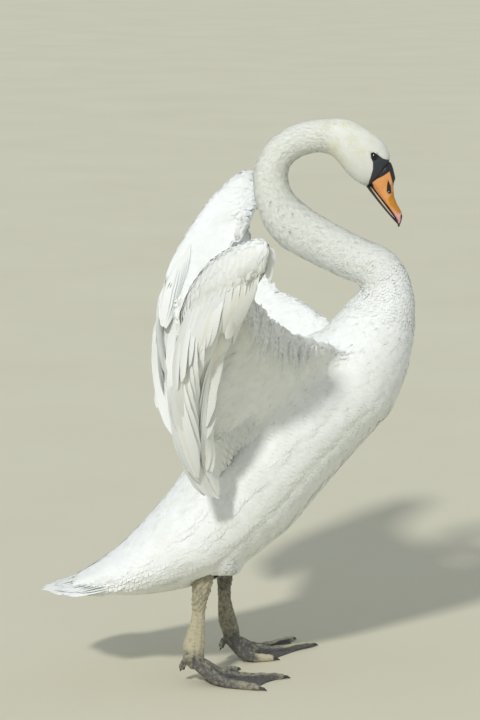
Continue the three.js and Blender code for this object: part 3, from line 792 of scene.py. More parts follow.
def lay_feathers(name, pattern, spine, normals, half_width, uv, tone, material, slot, camber=0.1,
                 unevenness=0.0, lean=0.0, rounding=0.3):
    """Makes one mesh, or several, of a feather pattern bent along many spines of four points each."""
    weights = along_spine(pattern["places"][:, 0])

    def bent(values):
        return np.einsum("vk,fkd->fvd", weights, values)

    tangents = unit(np.gradient(spine, axis=1))
    # Where a feather turns away from the coat under it, it faces its own way.
    tilt = (normals * tangents).sum(-1, keepdims=True)
    normals = unit(normals - tangents * tilt * np.clip((np.abs(tilt) - 0.15) / 0.25, 0, 1))
    sides = unit(np.cross(normals, tangents))
    if lean:
        lean = np.broadcast_to(lean, len(spine))[:, None, None]
        sides, normals = (sides * np.cos(lean) + normals * np.sin(lean),
                          normals * np.cos(lean) - sides * np.sin(lean))
    across = np.broadcast_to(pattern["places"][:, 1], (len(spine), len(weights))).copy()
    if unevenness:
        edge = np.abs(across) > 0.3
        across = across * (1 - unevenness * rng.random(across.shape) ** 2 * edge)
    width = np.broadcast_to(half_width, len(spine))[:, None]
    reach = across * width
    sag = camber * across**2 * width
    if pattern["shaft"] is not None:
        sag = sag - pattern["shaft"] * SHAFT_HEIGHT
    facing = bent(normals)
    points = bent(spine) + reach[..., None] * bent(sides) - sag[..., None] * facing
    # A feather shades as the coat around it does, and only a little by its own curve.
    facing = unit(facing + rounding * across[..., None] * bent(sides))
    each = 2 * len(pattern["faces"])
    batch = MOST_TRIANGLES // each
    batches = math.ceil(len(spine) / batch)
    made = []
    for number, chosen in enumerate(np.array_split(np.arange(len(spine)), batches)):
        title = name if batches == 1 else f"{name}_{number + 1}"
        lengths = np.linalg.norm(spine[chosen, 3] - spine[chosen, 0], axis=1)
        made.append(feather_mesh(title, pattern, points[chosen], facing[chosen], uv[chosen], tone[chosen],
                                 material, lengths, width[chosen]))
        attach(made[-1], "root")
        made_triangles.append(each * len(chosen))
    return made


def feather_mesh(title, pattern, points, facing, uv, tone, material, lengths, widths):
    count, size = points.shape[:2]
    faces = (pattern["faces"][None] + np.arange(count)[:, None, None] * size).reshape(-1, 4)
    mesh = bpy.data.meshes.new(title)
    mesh.vertices.add(count * size)
    mesh.vertices.foreach_set("co", points.astype(np.float32).ravel())
    mesh.loops.add(faces.size)
    mesh.loops.foreach_set("vertex_index", faces.astype(np.int32).ravel())
    mesh.polygons.add(len(faces))
    mesh.polygons.foreach_set("loop_start", np.arange(0, faces.size, 4, dtype=np.int32))
    mesh.update(calc_edges=True)
    shade_smooth(mesh)
    mesh.normals_split_custom_set_from_vertices(facing.reshape(-1, 3).tolist())
    local = pattern["places"] - [0.5, 0]
    patch = uv[:, None] + local * [BAKE_PATCH, BAKE_PATCH / 2]
    mesh.uv_layers.new(name="OFBake").uv.foreach_set(
        "vector", patch.reshape(-1, 2)[faces.ravel()].astype(np.float32).ravel())
    write_attribute(mesh, "tone", np.repeat(tone, size))
    if pattern["shaft"] is not None:
        write_attribute(mesh, "shaft", np.tile(pattern["shaft"], count))
        along = pattern["places"][:, 0] * lengths[:, None] * 10
        side = pattern["places"][:, 1] * widths * 10 + 0.5
        vane = np.stack([along, side], -1).reshape(-1, 2)[faces.ravel()]
        mesh.uv_layers.new(name="vane").uv.foreach_set("vector", vane.astype(np.float32).ravel())
    return new_object(title, mesh, material)


def support_tree():
    """What feathers lie on: the coat's own outer surface, and the fans of long feathers."""
    fans = ["tail", *(f"{fan}_{side}" for side in SIDES
                      for fan in ("secondaries", "tertials", "primaries", "primary_coverts"))]
    shape = gathered(fans)
    bmesh.ops.triangulate(shape, faces=shape.faces)
    shape.verts.index_update()
    start = len(skin.outer)
    points = skin.outer.tolist() + [tuple(v.co) for v in shape.verts]
    faces = skin.triangles.tolist() + [[v.index + start for v in f.verts] for f in shape.faces]
    shape.free()
    # The skin's own slopes are evened out, so that feathers side by side shade alike.
    slopes = unit(even_out(skin.normals, skin.edges, 8, keep_volume=False))
    a, b, c = np.moveaxis(np.array(points)[np.array(faces[len(skin.triangles):])], 1, 0)
    facing = np.vstack([unit(slopes[skin.triangles].mean(1)), unit(np.cross(b - a, c - a))])
    return BVHTree.FromPolygons(points, faces), facing


support, support_facing = support_tree()


def lie_down(roots, rise=(-0.9, -0.3, -0.06, -0.08), ruffle=0.09, loose=0.03, steps=3, reach=0.55):
    """Spines that start under the coat and run along it, tipwards, up to its outer surface."""
    point, normal, lie = roots["point"], roots["normal"], roots["lie"]
    swing = rng.normal(0, ruffle, len(point))[:, None]
    lie = flatten(lie + np.cross(normal, lie) * swing, normal)
    step = (roots["length"] * rng.uniform(0.85, 1.15, len(point)))[:, None] / steps
    spine, normals = [point], [normal]
    for _ in range(steps):
        straight = point + lie * step
        near, _, face = nearest(support, straight + normal * 0.002)
        facing = support_facing[face]
        off = (np.linalg.norm(near - straight, axis=1) > reach * step[:, 0]) | ((facing * normal).sum(1) < 0.2)
        # Past an edge with nothing to lie on, a feather stops short.
        point = np.where(off[:, None], point + (0.35 * lie - 0.05 * normal) * step, near)
        normal = np.where(off[:, None], normal, unit(facing + normal))
        lie = flatten(lie, normal)
        spine.append(point)
        normals.append(normal)
    spine, normals = np.stack(spine, 1), np.stack(normals, 1)
    if steps != 3:
        at = np.linspace(0, steps, 4)
        low = np.minimum(at.astype(int), steps - 1)
        part = (at - low)[None, :, None]
        spine = spine[:, low] * (1 - part) + spine[:, low + 1] * part
        normals = unit(normals[:, low] * (1 - part) + normals[:, low + 1] * part)
    lift = (np.array(rise) + rng.normal(0, loose, (len(step), 1))) * roots["depth"][:, None]
    return spine + normals * lift[..., None], normals


def tones(count):
    """How far each feather is off the whitest: most of them little."""
    return rng.beta(1.2, 3, count)


def only(roots, kept):
    return {key: values[kept] for key, values in roots.items()}


def coat(name, roots, pattern, material=WHITE, slot="plumage", **laid):
    lying = {key: laid.pop(key) for key in ("rise", "ruffle", "loose", "steps", "reach") if key in laid}
    spine, normals = lie_down(roots, **lying)
    lay_feathers(name, pattern, spine, normals, roots["half_width"], roots["uv"], tones(len(spine)),
                 material, slot, **laid)


# ---- Bare skin of the face ----


def bill_axes(points):
    """Places along the mouth and over it, in millimetres from the gape."""
    local = (points - place(GAPE)) / MM
    along = local[:, 0] * math.cos(MOUTH_ANGLE) - local[:, 2] * math.sin(MOUTH_ANGLE)
    over = local[:, 0] * math.sin(MOUTH_ANGLE) + local[:, 2] * math.cos(MOUTH_ANGLE)
    return along, over


# The edge of the black skin between eye and bill, in those axes, and of the orange that runs back to it.
LORE = [(-43.5, 40), (-41.5, 44), (-34.5, 47.5), (-22, 50), (-13.5, 55.5), (-11, 60), (-8, 75), (30, 75),
        (30, -3), (-0.8, 0.4), (-6.3, 6.4), (-12, 15), (-19, 25), (-28, 32.5), (-37, 36)]
ORANGE_EDGE = [(-1.2, 10.9), (-0.9, 20.5), (20, 22), (20, 2.5), (2, 6)]
# The section from which the face begins, and a depth for what lies well outside an area.
HEAD_SECTION = 21
FAR_OUTSIDE = -9


def inside(along, over, corners):
    """Whether each place lies inside the polygon."""
    result = np.zeros(len(along), bool)
    for (x1, y1), (x2, y2) in zip(corners, corners[1:] + corners[:1]):
        crosses = (y1 > over) != (y2 > over)
        edge = (x2 - x1) * (over - y1) / (y2 - y1 if y2 != y1 else 1e-9) + x1
        result ^= crosses & (along < edge)
    return result


def depth_inside(along, over, corners):
    """How far inside the polygon each place lies, in millimetres: below nothing when outside."""
    spots = np.stack([along, over], -1)
    nearest = np.full(len(spots), np.inf)
    for start, end in zip(corners, corners[1:] + corners[:1]):
        way = np.subtract(end, start)
        share = np.clip((spots - start) @ way / (way @ way), 0, 1)[:, None]
        nearest = np.minimum(nearest, np.linalg.norm(spots - start - share * way, axis=1))
    return np.where(inside(along, over, corners), nearest, -nearest)


face_along, face_over = bill_axes(skin.outer)
bare_depth = np.where(skin.section > HEAD_SECTION, depth_inside(face_along, face_over, LORE), FAR_OUTSIDE)
write_attribute(skin.thing.data, "bare", bare_depth)
write_attribute(skin.thing.data, "orange", depth_inside(face_along, face_over, ORANGE_EDGE))


def skin_material():
    """Skin under the coat, as white as the coat; between eye and bill it is bare, black and fine-grained."""
    made, tree = new_material("swan_skin", roughness=0.7)
    colour = painted(tree, plumage_colour(tree), ("bare", 0.4, "#33363B"), ("orange", 0.4, "#DE9347"))
    return coloured(made, colour, grain(tree, 700, 0.35, 0.0006))


# Where the eyes look: outwards, a little forwards.
LOOKS = {"right": unit(np.array([0.28, -0.94, -0.05])), "left": unit(np.array([0.28, 0.94, -0.05]))}
# How far the skin dips round each eye, so that lids can hold it: distance from its middle and depth.
SOCKET = [(0, 5), (3.4, 4.6), (5.2, 2.0), (7.2, 0.6), (9.5, 0)]


def eye_middle(side):
    return place((EYE_PLACE[0], -EYE_PLACE[1] if side == "right" else EYE_PLACE[1], EYE_PLACE[2]))


def shape_face():
    """Brings the bare skin up level with the coat and the bill, and dips it round the eyes."""
    mesh = skin.thing.data
    points = points_of(mesh)
    level = np.clip(bare_depth / 1.5, 0, 1) * (skin.depth - 0.2 * MM)
    points = points + skin.normals * level[:, None]
    for side, look in LOOKS.items():
        off = points - eye_middle(side)
        ahead = off @ look
        radius = np.linalg.norm(off - ahead[:, None] * look, axis=1) / MM
        dip = np.interp(radius, *zip(*SOCKET)) * (ahead > 0) * (np.linalg.norm(off, axis=1) < 0.02)
        points = points - dip[:, None] * look * MM
    move_points(mesh, points)


shape_face()
skin.thing.data.materials.append(skin_material())
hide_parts(*FLESH)
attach(skin.thing, "root")

# ---- The coat ----

BODY_TUFT = tuft_pattern(6, 2, ROUND_VANE, 0.16, 0.3)
NECK_TUFT = tuft_pattern(4, 1, ROUND_VANE, 0.22, 0.5)
FACE_TUFT = tuft_pattern(3, 1, ROUND_VANE, 0.12, 0.15)

# Sections where the coat of trunk, neck and head begin and end. They overlap a little.
TRUNK_END, NECK_START, NECK_END, HEAD_START = 10.3, 9.6, 21.5, 21.3

body = (skin.section >= 0) & (bare_depth < 0.3)
coat("coat_trunk", skin.scatter(body & (skin.section < TRUNK_END)), BODY_TUFT, camber=0.055, rounding=0.2,
     reach=1.5)
neck = body & (skin.section > NECK_START) & (skin.section < NECK_END)
coat("coat_neck", skin.scatter(neck), NECK_TUFT, rise=(-0.7, -0.26, -0.04, 0.12), ruffle=0.16, loose=0.06,
     camber=0.07, rounding=0.5)
coat("coat_head", skin.scatter(body & (skin.section > HEAD_START)), FACE_TUFT, rise=(-1, -0.2, -0.04, -0.16),
     rounding=0.1, camber=0.1)
for side in SIDES:
    coat(f"coat_shank_{side}", skin.scatter(part_mask(skin.part, f"shank_{side}")), NECK_TUFT)
    for piece, parts in {"inner_wing": ["inner_wing"], "wing": ["hand", "forearm"]}.items():
        where = part_mask(skin.part, *(f"{part}_{side}" for part in parts))
        coat(f"coat_{piece}_{side}", skin.scatter(where), BODY_TUFT, loose=0.01, ruffle=0.04, rounding=0.15,
             camber=0.05)

# ---- Flight feathers ----

FLIGHT_FEATHER = flight_pattern(34, LONG_VANE)
COVERT = flight_pattern(11, COVERT_VANE)
LONG_TUFT = tuft_pattern(9, 2, ROUND_VANE, 0.12, 0.2)


def fan_spines(fan, feathers, start=0.0, end=1.0):
    """Spines and normals of the feathers of a fan, each on a bend from root past middle to tip."""
    shares = (np.arange(feathers) + 0.5) / feathers
    root, middle, tip = (place(through(fan[key], shares)) for key in ("roots", "middles", "tips"))
    t = np.linspace(start, end, 4)[None, :, None]
    spine = (1 - t) ** 2 * root[:, None] + 2 * t * (1 - t) * middle[:, None] + t**2 * tip[:, None]
    normals = unit(np.cross(np.gradient(spine, axis=0), np.gradient(spine, axis=1)))
    return spine, normals


def facing_out(normals, outwards):
    return normals if (normals.mean((0, 1)) * np.array(outwards)).sum() > 0 else -normals


def long_feathers(name, fan, outwards, lean, replaced=None, stray=1.0):
    """The long feathers of a fan, one by one. Each is leant about its shaft, and strays a little."""
    spine, normals = fan_spines(fan, fan["feathers"])
    normals = facing_out(normals, outwards)
    count = len(spine)
    # No two feathers bend quite alike.
    sides = unit(np.cross(normals, np.gradient(spine, axis=1)))
    bend = (np.arange(4) ** 2 / 9)[None, :, None]
    spine = spine + normals * stray * (rng.normal(0, 0.001, (count, 1, 1))
                                       + bend * rng.normal(0, 0.003, (count, 1, 1)))
    spine = spine + sides * stray * bend * rng.normal(0, 0.004, (count, 1, 1))
    spine = spine[:, :1] + (spine - spine[:, :1]) * rng.uniform(0.95, 1.01, (count, 1, 1))
    root_uv = skin.roots_near(spine[:, 0])["uv"]
    made = lay_feathers(name, FLIGHT_FEATHER, spine, normals, fan["half_width"] * MM * 1.1, root_uv,
                        tones(count), FLIGHT, "flight_feather", camber=0.2, unevenness=0.04, lean=lean,
                        rounding=0.6)
    if replaced:
        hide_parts(replaced)


def greater_coverts(name, fan, outwards, reach, rise=1.0):
    """The coverts that lie over the upper part of a fan of long feathers, on one face of it."""
    count = fan["feathers"] + 3
    spine, normals = fan_spines(fan, count, -0.12, reach)
    normals = facing_out(normals, outwards)
    lift = np.array([-0.002, 0.003, 0.006, 0.004])[None, :, None]
    spine = spine + normals * (rise * lift + rng.normal(0, 0.0005, (count, 1, 1)))
    spine = spine[:, :1] + (spine - spine[:, :1]) * rng.uniform(0.88, 1.06, (count, 1, 1))
    root_uv = skin.roots_near(spine[:, 0])["uv"]
    lay_feathers(name, COVERT, spine, normals, fan["half_width"] * MM * 0.95, root_uv, tones(count),
                 FLIGHT, "flight_feather", camber=0.2, unevenness=0.04, lean=0.1, rounding=0.5)


def covert_rows(name, wing, face):
    """Rows of rounded coverts down one face of the forearm, each row longer than the one above."""
    forearm = np.array(wing["forearm"], float)
    lie = unit(np.array(wing["feather_lie"]))
    along = np.linalg.norm(np.diff(forearm[:, :3], axis=0), axis=1).sum()
    found = []
    for number, (across, length, half_width, depth) in enumerate(COVERT_ROWS):
        count = int(along / (1.25 * half_width))
        shares = (np.arange(count) + 0.25 + 0.5 * (number % 2)) / count
        shares = np.clip(shares + rng.normal(0, 0.08 / count, count), 0, 1)
        rows = through(forearm, shares)
        # The face as it turns along the forearm.
        axis = through(forearm, np.minimum(shares + 0.03, 1))[:, :3] - through(forearm, shares - 0.03)[:, :3]
        out = unit(np.cross(axis, lie))
        out = out * np.sign((out * face).sum(-1, keepdims=True))
        spot = place(rows[:, :3]) + lie * across * rows[:, 3:4] * MM + out * 0.02
        roots = skin.roots_near(spot)
        roots["length"] = length * MM * rng.uniform(0.92, 1.08, count)
        roots["half_width"] = np.full(count, half_width * MM)
        roots["depth"] = np.full(count, depth * MM)
        there = np.isin(roots["part"], [FLESH.index(f"{part}_{wing['side']}") for part in ("forearm", "hand")])
        found.append(only(roots, there & ((roots["normal"] * out).sum(-1) > 0.3)))
    joined = {key: np.concatenate([roots[key] for roots in found]) for key in found[0]}
    coat(name, joined, COVERT, FLIGHT, "flight_feather", ruffle=0.05, loose=0.05, unevenness=0.04, camber=0.14,
         rounding=0.45)


def axillaries(name, wing):
    """Long soft feathers that hang from the trailing edge of the inner wing, in onto the flank."""
    count = 48
    shares = rng.uniform(0.03, 0.38, count)
    front, back = wing_edges(wing, shares)
    outwards = np.array(wing["outwards"])
    start = skin.roots_near(front + (back - front) * rng.uniform(0.66, 0.9, (count, 1)) + outwards * 0.012)
    edge = skin.roots_near(back + outwards * 0.012)
    drop = unit(unit(back - front) + rng.normal(0, 0.12, (count, 3)) + np.array([-0.5, 0, -0.8]))
    flank = BVHTree.FromPolygons(skin.outer.tolist(), skin.triangles[
        part_mask(skin.part, "trunk")[skin.triangles].all(1)].tolist())
    spot, slope, _ = nearest(flank, back + drop * rng.uniform(0.05, 0.09, (count, 1)))
    end = spot + slope * 0.002
    over = edge["point"] + edge["normal"] * 0.001
    spine = np.stack([start["point"] - start["normal"] * 0.003, over,
                      (over + end) / 2 + outwards * 0.004, end], 1)
    normals = np.broadcast_to(unit(outwards + np.array([0.2, 0, 0.1])), spine.shape)
    lay_feathers(name, LONG_TUFT, spine, normals, rng.uniform(0.013, 0.018, count), start["uv"],
                 tones(count), WHITE, "plumage", rounding=0.15)


def hanging_down(name, wing):
    """Loose downy coverts that hang from the leading edge of the inner wing."""
    count = 120
    shares = rng.uniform(0.16, 0.8, count)
    front, back = wing_edges(wing, shares)
    outwards = np.array(wing["outwards"])
    roots = skin.roots_near(front + (back - front) * rng.uniform(0.04, 0.16, (count, 1)) + outwards * 0.015)
    roots = only(roots, roots["part"] == FLESH.index(f"inner_wing_{wing['side']}"))
    count = len(roots["part"])
    fall = unit(np.array([-0.12, 0, -1]) + 0.2 * outwards + rng.normal(0, 0.12, (count, 3)))
    length = rng.uniform(0.02, 0.05, (count, 1))
    share = np.arange(4)[None, :, None] / 3
    spine = roots["point"][:, None] + fall[:, None] * length[:, None] * share
    spine = spine + outwards * 0.004 * np.sin(np.pi * share)
    normals = np.broadcast_to(unit(outwards + np.array([0.3, 0, 0])), spine.shape)
    lay_feathers(name, NECK_TUFT, spine, normals, rng.uniform(0.0024, 0.0045, count), roots["uv"],
                 rng.beta(2, 2, count), WHITE, "plumage", rounding=0.4)


UP, DOWN, TO_THE_RIGHT = (0, 0, 1), (0, 0, -1), (0, -1, 0)

for wing in (RIGHT_WING, LEFT_WING):
    side, outwards = wing["side"], wing["outwards"]
    inwards = tuple(-x for x in outwards)
    turn = 0.12 if side == "right" else -0.12
    for fan_name in ("secondaries", "tertials", "primaries", "primary_coverts", "alula"):
        long_feathers(f"{fan_name}_feathers_{side}", wing[fan_name], outwards, turn, f"{fan_name}_{side}")
    greater_coverts(f"greater_coverts_{side}", wing["secondaries"], outwards, 0.5)
    greater_coverts(f"under_coverts_{side}", wing["secondaries"], inwards, 0.38)
    covert_rows(f"coverts_{side}", wing, outwards)
    covert_rows(f"lining_{side}", wing, inwards)
    axillaries(f"axillaries_{side}", wing)
    hanging_down(f"hanging_down_{side}", wing)
long_feathers("tail_feathers", TAIL, UP, 0.04, "tail", stray=0.25)
greater_coverts("tail_coverts", TAIL, UP, 0.84, 0.3)
greater_coverts("vent_coverts", TAIL, DOWN, 0.74, 0.1)
long_feathers("elbow_feathers", ELBOW_FEATHERS, TO_THE_RIGHT, 0.12)
greater_coverts("elbow_coverts", ELBOW_COVERTS, TO_THE_RIGHT, 1.0, 0.3)

# ---- Bill, eyes, legs ----


# Areas of the bill in its own axes, in mm: the black knob and base, nostril, nail and cutting edge; the
# ochre patch on the ridge; the pink end; and the dark lower edge of the lower half.
KNOB = [(-20, 3), (2, 6), (-1.2, 10.9), (-0.9, 20.5), (2, 33.5), (3.2, 44.3), (9.9, 41.3), (22.4, 35.5),
        (27, 33), (30, 44), (30, 80), (-20, 80)]
NOSTRIL = [(12, 33.5), (24, 30), (34.1, 23.6), (33, 18.5), (26.7, 19), (19.5, 25)]
NAIL = [(74, 10.5), (75, 20), (100, 12), (100, -14), (79, -14), (82, -4), (83.5, 1), (80.5, 5.5)]
CUTTING_EDGE = [(-4, 9), (3, 8.4), (8, 6), (21, 5), (43, 4.4), (61, 3.8), (74, 2.4), (79, -4), (79, -12),
                (-4, -12)]
OCHRE = [(38, 12.5), (34, 22), (36, 40), (72, 30), (71, 13), (68.5, 9), (47.5, 8.4)]
PINK = [(55, -6), (58, 4), (66, 8), (72, 14), (90, 14), (90, -8)]
# Painted light: a pale dot in the nostril, where light would show through it.
NOSTRIL_PAINTED_LIGHT = [(28.6, 20.6), (29.6, 20.4), (30.2, 21.2), (29.5, 22), (28.5, 21.6)]
LOWER_EDGE = [(-12, 2.4), (5, 1.5), (21.6, 0.2), (41.6, -0.6), (61.4, -0.9), (72, -0.2), (76, 4), (95, 5),
              (95, -25), (-12, -25)]
# The depth that is written where a half of the bill has no such area.
NOT_THERE = -99
# The height of the ridge of the bill, as a share of the solid's, along the bill.
RIDGE = [(-9, 1.02), (8, 0.97), (15, 0.985), (20.5, 1.0), (25.5, 0.9), (32, 0.91), (43, 0.84), (55, 0.89),
         (62, 1.0), (70, 1.15), (76, 1.3), (82, 1.4), (90, 1.25)]


def bill_material(name, horn):
    """Horn over bone, smooth and a little waxy: orange or cream, with black edges, ridge knob and nail."""
    made, tree = new_material(name, roughness=0.48)
    # The pale dot in the nostril is painted light.
    colour = painted(tree, mottled(tree, *horn, 130, 4, 0.65), ("pink", 5.0, "#E2A6A6"),
                     ("ochre", 1.5, "#C4821A"), ("black", 0.45, "#1D1E20"), ("nostril_painted_light", 0.4, "#E8E4D4"))
    return coloured(made, colour, grain(tree, 420, 0.25, 0.0005))


def bill_half(name, material, blacks, others):
    """One half of the bill, drawn out of its solid, with the depth of each place in its areas."""
    horn = remeshed(f"{name}_horn", [name], HORN_VOXEL, material)
    mesh = horn.data
    smooth_mesh(mesh, 30)
    normals = slopes_of(mesh)
    points = even_out(points_of(mesh), edges_of(mesh), 16, keep_volume=False) + normals * 0.3 * MM
    along, over = bill_axes(points)
    up = np.array([math.sin(MOUTH_ANGLE), 0, math.cos(MOUTH_ANGLE)]) * MM
    if name == "bill_upper":
        rise = (over - 6) * (np.interp(along, *zip(*RIDGE)) - 1) * rising(over, 6, 6)
        # The tip is broad and blunt.
        rise = rise + 2.4 * rising(along, 58, 16) * rising(over, 3, 5)
        dent = 1.6 * np.clip(depth_inside(along, over, NOSTRIL) / 2, 0, 1)
        # The nail turns down over the tip of the lower half.
        rise = rise - 4.5 * rising(along, 78, 9) ** 1.5
        points = points + rise[:, None] * up - normals * dent[:, None] * MM
        # Its back edge runs in under the skin of the face.
        forwards = np.array([math.cos(MOUTH_ANGLE), 0, -math.sin(MOUTH_ANGLE)]) * MM
        points = points - falling(along, 7, 6)[:, None] * 3.2 * forwards
        points = points - normals * (falling(along, 3, 7) ** 1.3 * 1.5 * MM)[:, None]
    else:
        slim = np.where(over < -0.5, -0.45 * (over + 0.5), 0)
        points = points + slim[:, None] * up - rising(along, 10, 40)[:, None] * 0.9 * up
    move_points(mesh, points)
    shade_smooth(mesh)
    along, over = bill_axes(points)
    write_attribute(mesh, "black", np.max([depth_inside(along, over, area) for area in blacks], axis=0))
    for key, area in {"ochre": OCHRE, "pink": PINK, "nostril_painted_light": NOSTRIL_PAINTED_LIGHT}.items():
        depth = depth_inside(along, over, area) if key in others else np.full(len(along), NOT_THERE)
        write_attribute(mesh, key, depth)
    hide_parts(name)
    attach(horn, "root")


bill_half("bill_upper", bill_material("upper_bill_horn", ("#E2923F", "#EDAE74")),
          (KNOB, NOSTRIL, NAIL, CUTTING_EDGE), ("ochre", "pink", "nostril_painted_light"))
bill_half("bill_lower", bill_material("lower_bill_horn", ("#D8CFBB", "#C9BDA4")),
          (LOWER_EDGE,), ())


def ring(radius, thickness, flat):
    """A ring round the Z axis, its section an oval."""
    shape = bmesh.new()
    bmesh.ops.create_circle(shape, segments=14, radius=thickness)
    bmesh.ops.rotate(shape, verts=shape.verts, cent=(0, 0, 0), matrix=Matrix.Rotation(math.pi / 2, 3, "X"))
    bmesh.ops.scale(shape, verts=shape.verts, vec=(1, 1, flat))
    bmesh.ops.translate(shape, verts=shape.verts, vec=(radius, 0, 0))
    bmesh.ops.spin(shape, geom=shape.verts[:] + shape.edges[:], cent=(0, 0, 0), axis=(0, 0, 1),
                   angle=2 * math.pi, steps=48, use_merge=True, use_duplicate=False)
    bmesh.ops.recalc_face_normals(shape, faces=shape.faces)
    return shape


def finished(name, shape, material, replaced=None):
    """Makes an object of a bmesh, smooth, which rides with the bird."""
    mesh = mesh_from(name, shape)
    shade_smooth(mesh)
    thing = new_object(name, mesh, material)
    if replaced:
        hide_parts(replaced)
    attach(thing, "root")
    return thing


def eye_material():
    """The wet front of the eye: black pupil, an iris of so dark a brown that it nearly reads as black."""
    made, tree = new_material("swan_eye", roughness=0.06)
    iris = mottled(tree, "#150D09", "#2E1D14", 1100, 3)
    return coloured(made, painted(tree, iris, ("off_iris", 0.25, "#060506")))


def lid_material():
    """Bare black skin of the lids, finely wrinkled and dull, greyer where it has dried."""
    made, tree = new_material("eyelid_skin", roughness=0.5)
    return coloured(made, mottled(tree, "#1E1F22", "#323337", 400, 4), grain(tree, 900, 0.4, 0.0004))


# The ring of the lids: radius, thickness, how much it is flattened, how oval, how far before the eye.
LID_RING, LID_OVAL, LID_FORWARDS = (0.0047, 0.0008, 1.1), (1.14, 0.92, 1), 0.0043
EYE, LID = eye_material(), lid_material()
for side, look in LOOKS.items():
    middle = eye_middle(side)
    ball = bmesh.new()
    bmesh.ops.create_uvsphere(ball, u_segments=48, v_segments=32, radius=EYE_RADIUS * MM)
    bmesh.ops.translate(ball, verts=ball.verts, vec=middle.tolist())
    eyeball = finished(f"eyeball_{side}", ball, EYE, f"eye_{side}")
    # How far each place on the ball is outside the iris, in mm, inwards or outwards; behind, far.
    off = points_of(eyeball.data) - middle
    aside = np.linalg.norm(off - (off @ look)[:, None] * look, axis=1) / MM
    off_iris = np.maximum(PUPIL_RADIUS - aside, aside - IRIS_RADIUS)
    write_attribute(eyeball.data, "off_iris", np.where(off @ look > 0, off_iris, -FAR_OUTSIDE))
    lids = ring(*LID_RING)
    bmesh.ops.scale(lids, verts=lids.verts, vec=LID_OVAL)
    turn = Vector(look.tolist()).to_track_quat("Z", "Y").to_matrix()
    bmesh.ops.rotate(lids, verts=lids.verts, cent=(0, 0, 0), matrix=turn)
    bmesh.ops.translate(lids, verts=lids.verts, vec=(middle + look * LID_FORWARDS).tolist())
    finished(f"eyelids_{side}", lids, LID)


def leg_material():
    """Scaly grey-black skin of leg and foot, with pale mud dried on it and a painted highlight along the toes:
    small flat scales, dull.
    """
    made, tree = new_material("leg_scales", roughness=0.62)
    coords = object_coords(tree)
    blots = noise(tree, coords, 150, 8, 0.72)
    # The pale colour is dried mud, and on the toes also a painted highlight.
    dried = mapped(tree, calculated(tree, "ADD", blots, attribute(tree, "mud")), 0.86, 1.2)
    # Scales about 3 mm across; their seams are darker and lower.
    scales = add_node(tree, "TexVoronoi", {"Vector": coords, "Scale": 330}, feature="DISTANCE_TO_EDGE")
    seam = mapped(tree, scales.outputs["Distance"], 0.0, 0.14)
    bare, mud = mixed(tree, seam, "#373836", "#666561"), mixed(tree, blots, "#D6CDAC", "#A89F86")
    return coloured(made, mixed(tree, dried, bare, mud), bumps(tree, seam, 0.6, 0.0008))


def claw_material():
    """Worn black horn of the claws, faintly streaked with mud."""
    made, tree = new_material("claw_horn", roughness=0.5)
    return coloured(made, mottled(tree, "#1C1B1A", "#4A463F", 220, 4))


# Where the heel stands and how far each toe reaches, as in the solids, and how muddy are the leg, the
# foot and the ends of the toes.
FEET = {
    "right": {"heel": (-82, -50), "toes": [(35, -88), (77, -19), (-7, 28)], "mud": (0.68, 0.29, 0.06)},
    "left": {"heel": (-16, 78), "toes": [(97, 221), (134, 181), (60, 92)], "mud": (0.5, 0.26, 0.34)},
}
# Where the joints of a toe are, as shares of its length.
KNUCKLES = (0.36, 0.56, 0.76, 0.9)
# Three crossing waves, per mm, whose product makes the knobs of ankle and heel.
KNOB_WAVES = np.array([[0.55, -0.2, 0.1], [0.31, 0.5, -0.25], [0.12, 0.42, 0.6]])
# Heights on a leg, in mm: the seam of tarsus and foot, and where the top starts to run up.
FOOT_SEAM, LEG_TOP = 57, 130
LEG, CLAW = leg_material(), claw_material()


def web_height(table, normals, heel, toes):
    """How far the webs, slung from the middle toe, are lifted off the floor in mm, and where they are."""
    lifted, web = np.zeros(len(table)), np.zeros(len(table))
    inner, middle, outer = (np.subtract(tip, heel) for tip in (toes[2], toes[1], toes[0]))
    off = table[:, :2] - heel
    for first, second, fall in ((inner, middle, -1), (middle, outer, 1)):
        share, other = np.linalg.solve(np.column_stack([first, second]), off.T)
        reach = share + other
        between = np.clip(other / np.maximum(reach, 1e-6), 0, 1)
        held = (share > 0.02) & (other > 0.02) & (reach < 1.1) & (table[:, 2] < 11)
        from_middle = between if fall > 0 else 1 - between
        slung = (4 + 13 * np.clip(1 - reach, 0, 1) ** 1.2) * (1 - 0.55 * np.clip(from_middle, 0, 1))
        lift = np.maximum(slung - table[:, 2], 0) * rising(normals[:, 2], -0.1, 0.4)
        lifted = np.maximum(lifted, lift * held)
        web = np.maximum(web, held * np.clip(np.sin(math.pi * between) * 2.4 - 0.5, 0, 1))
    return lifted, web


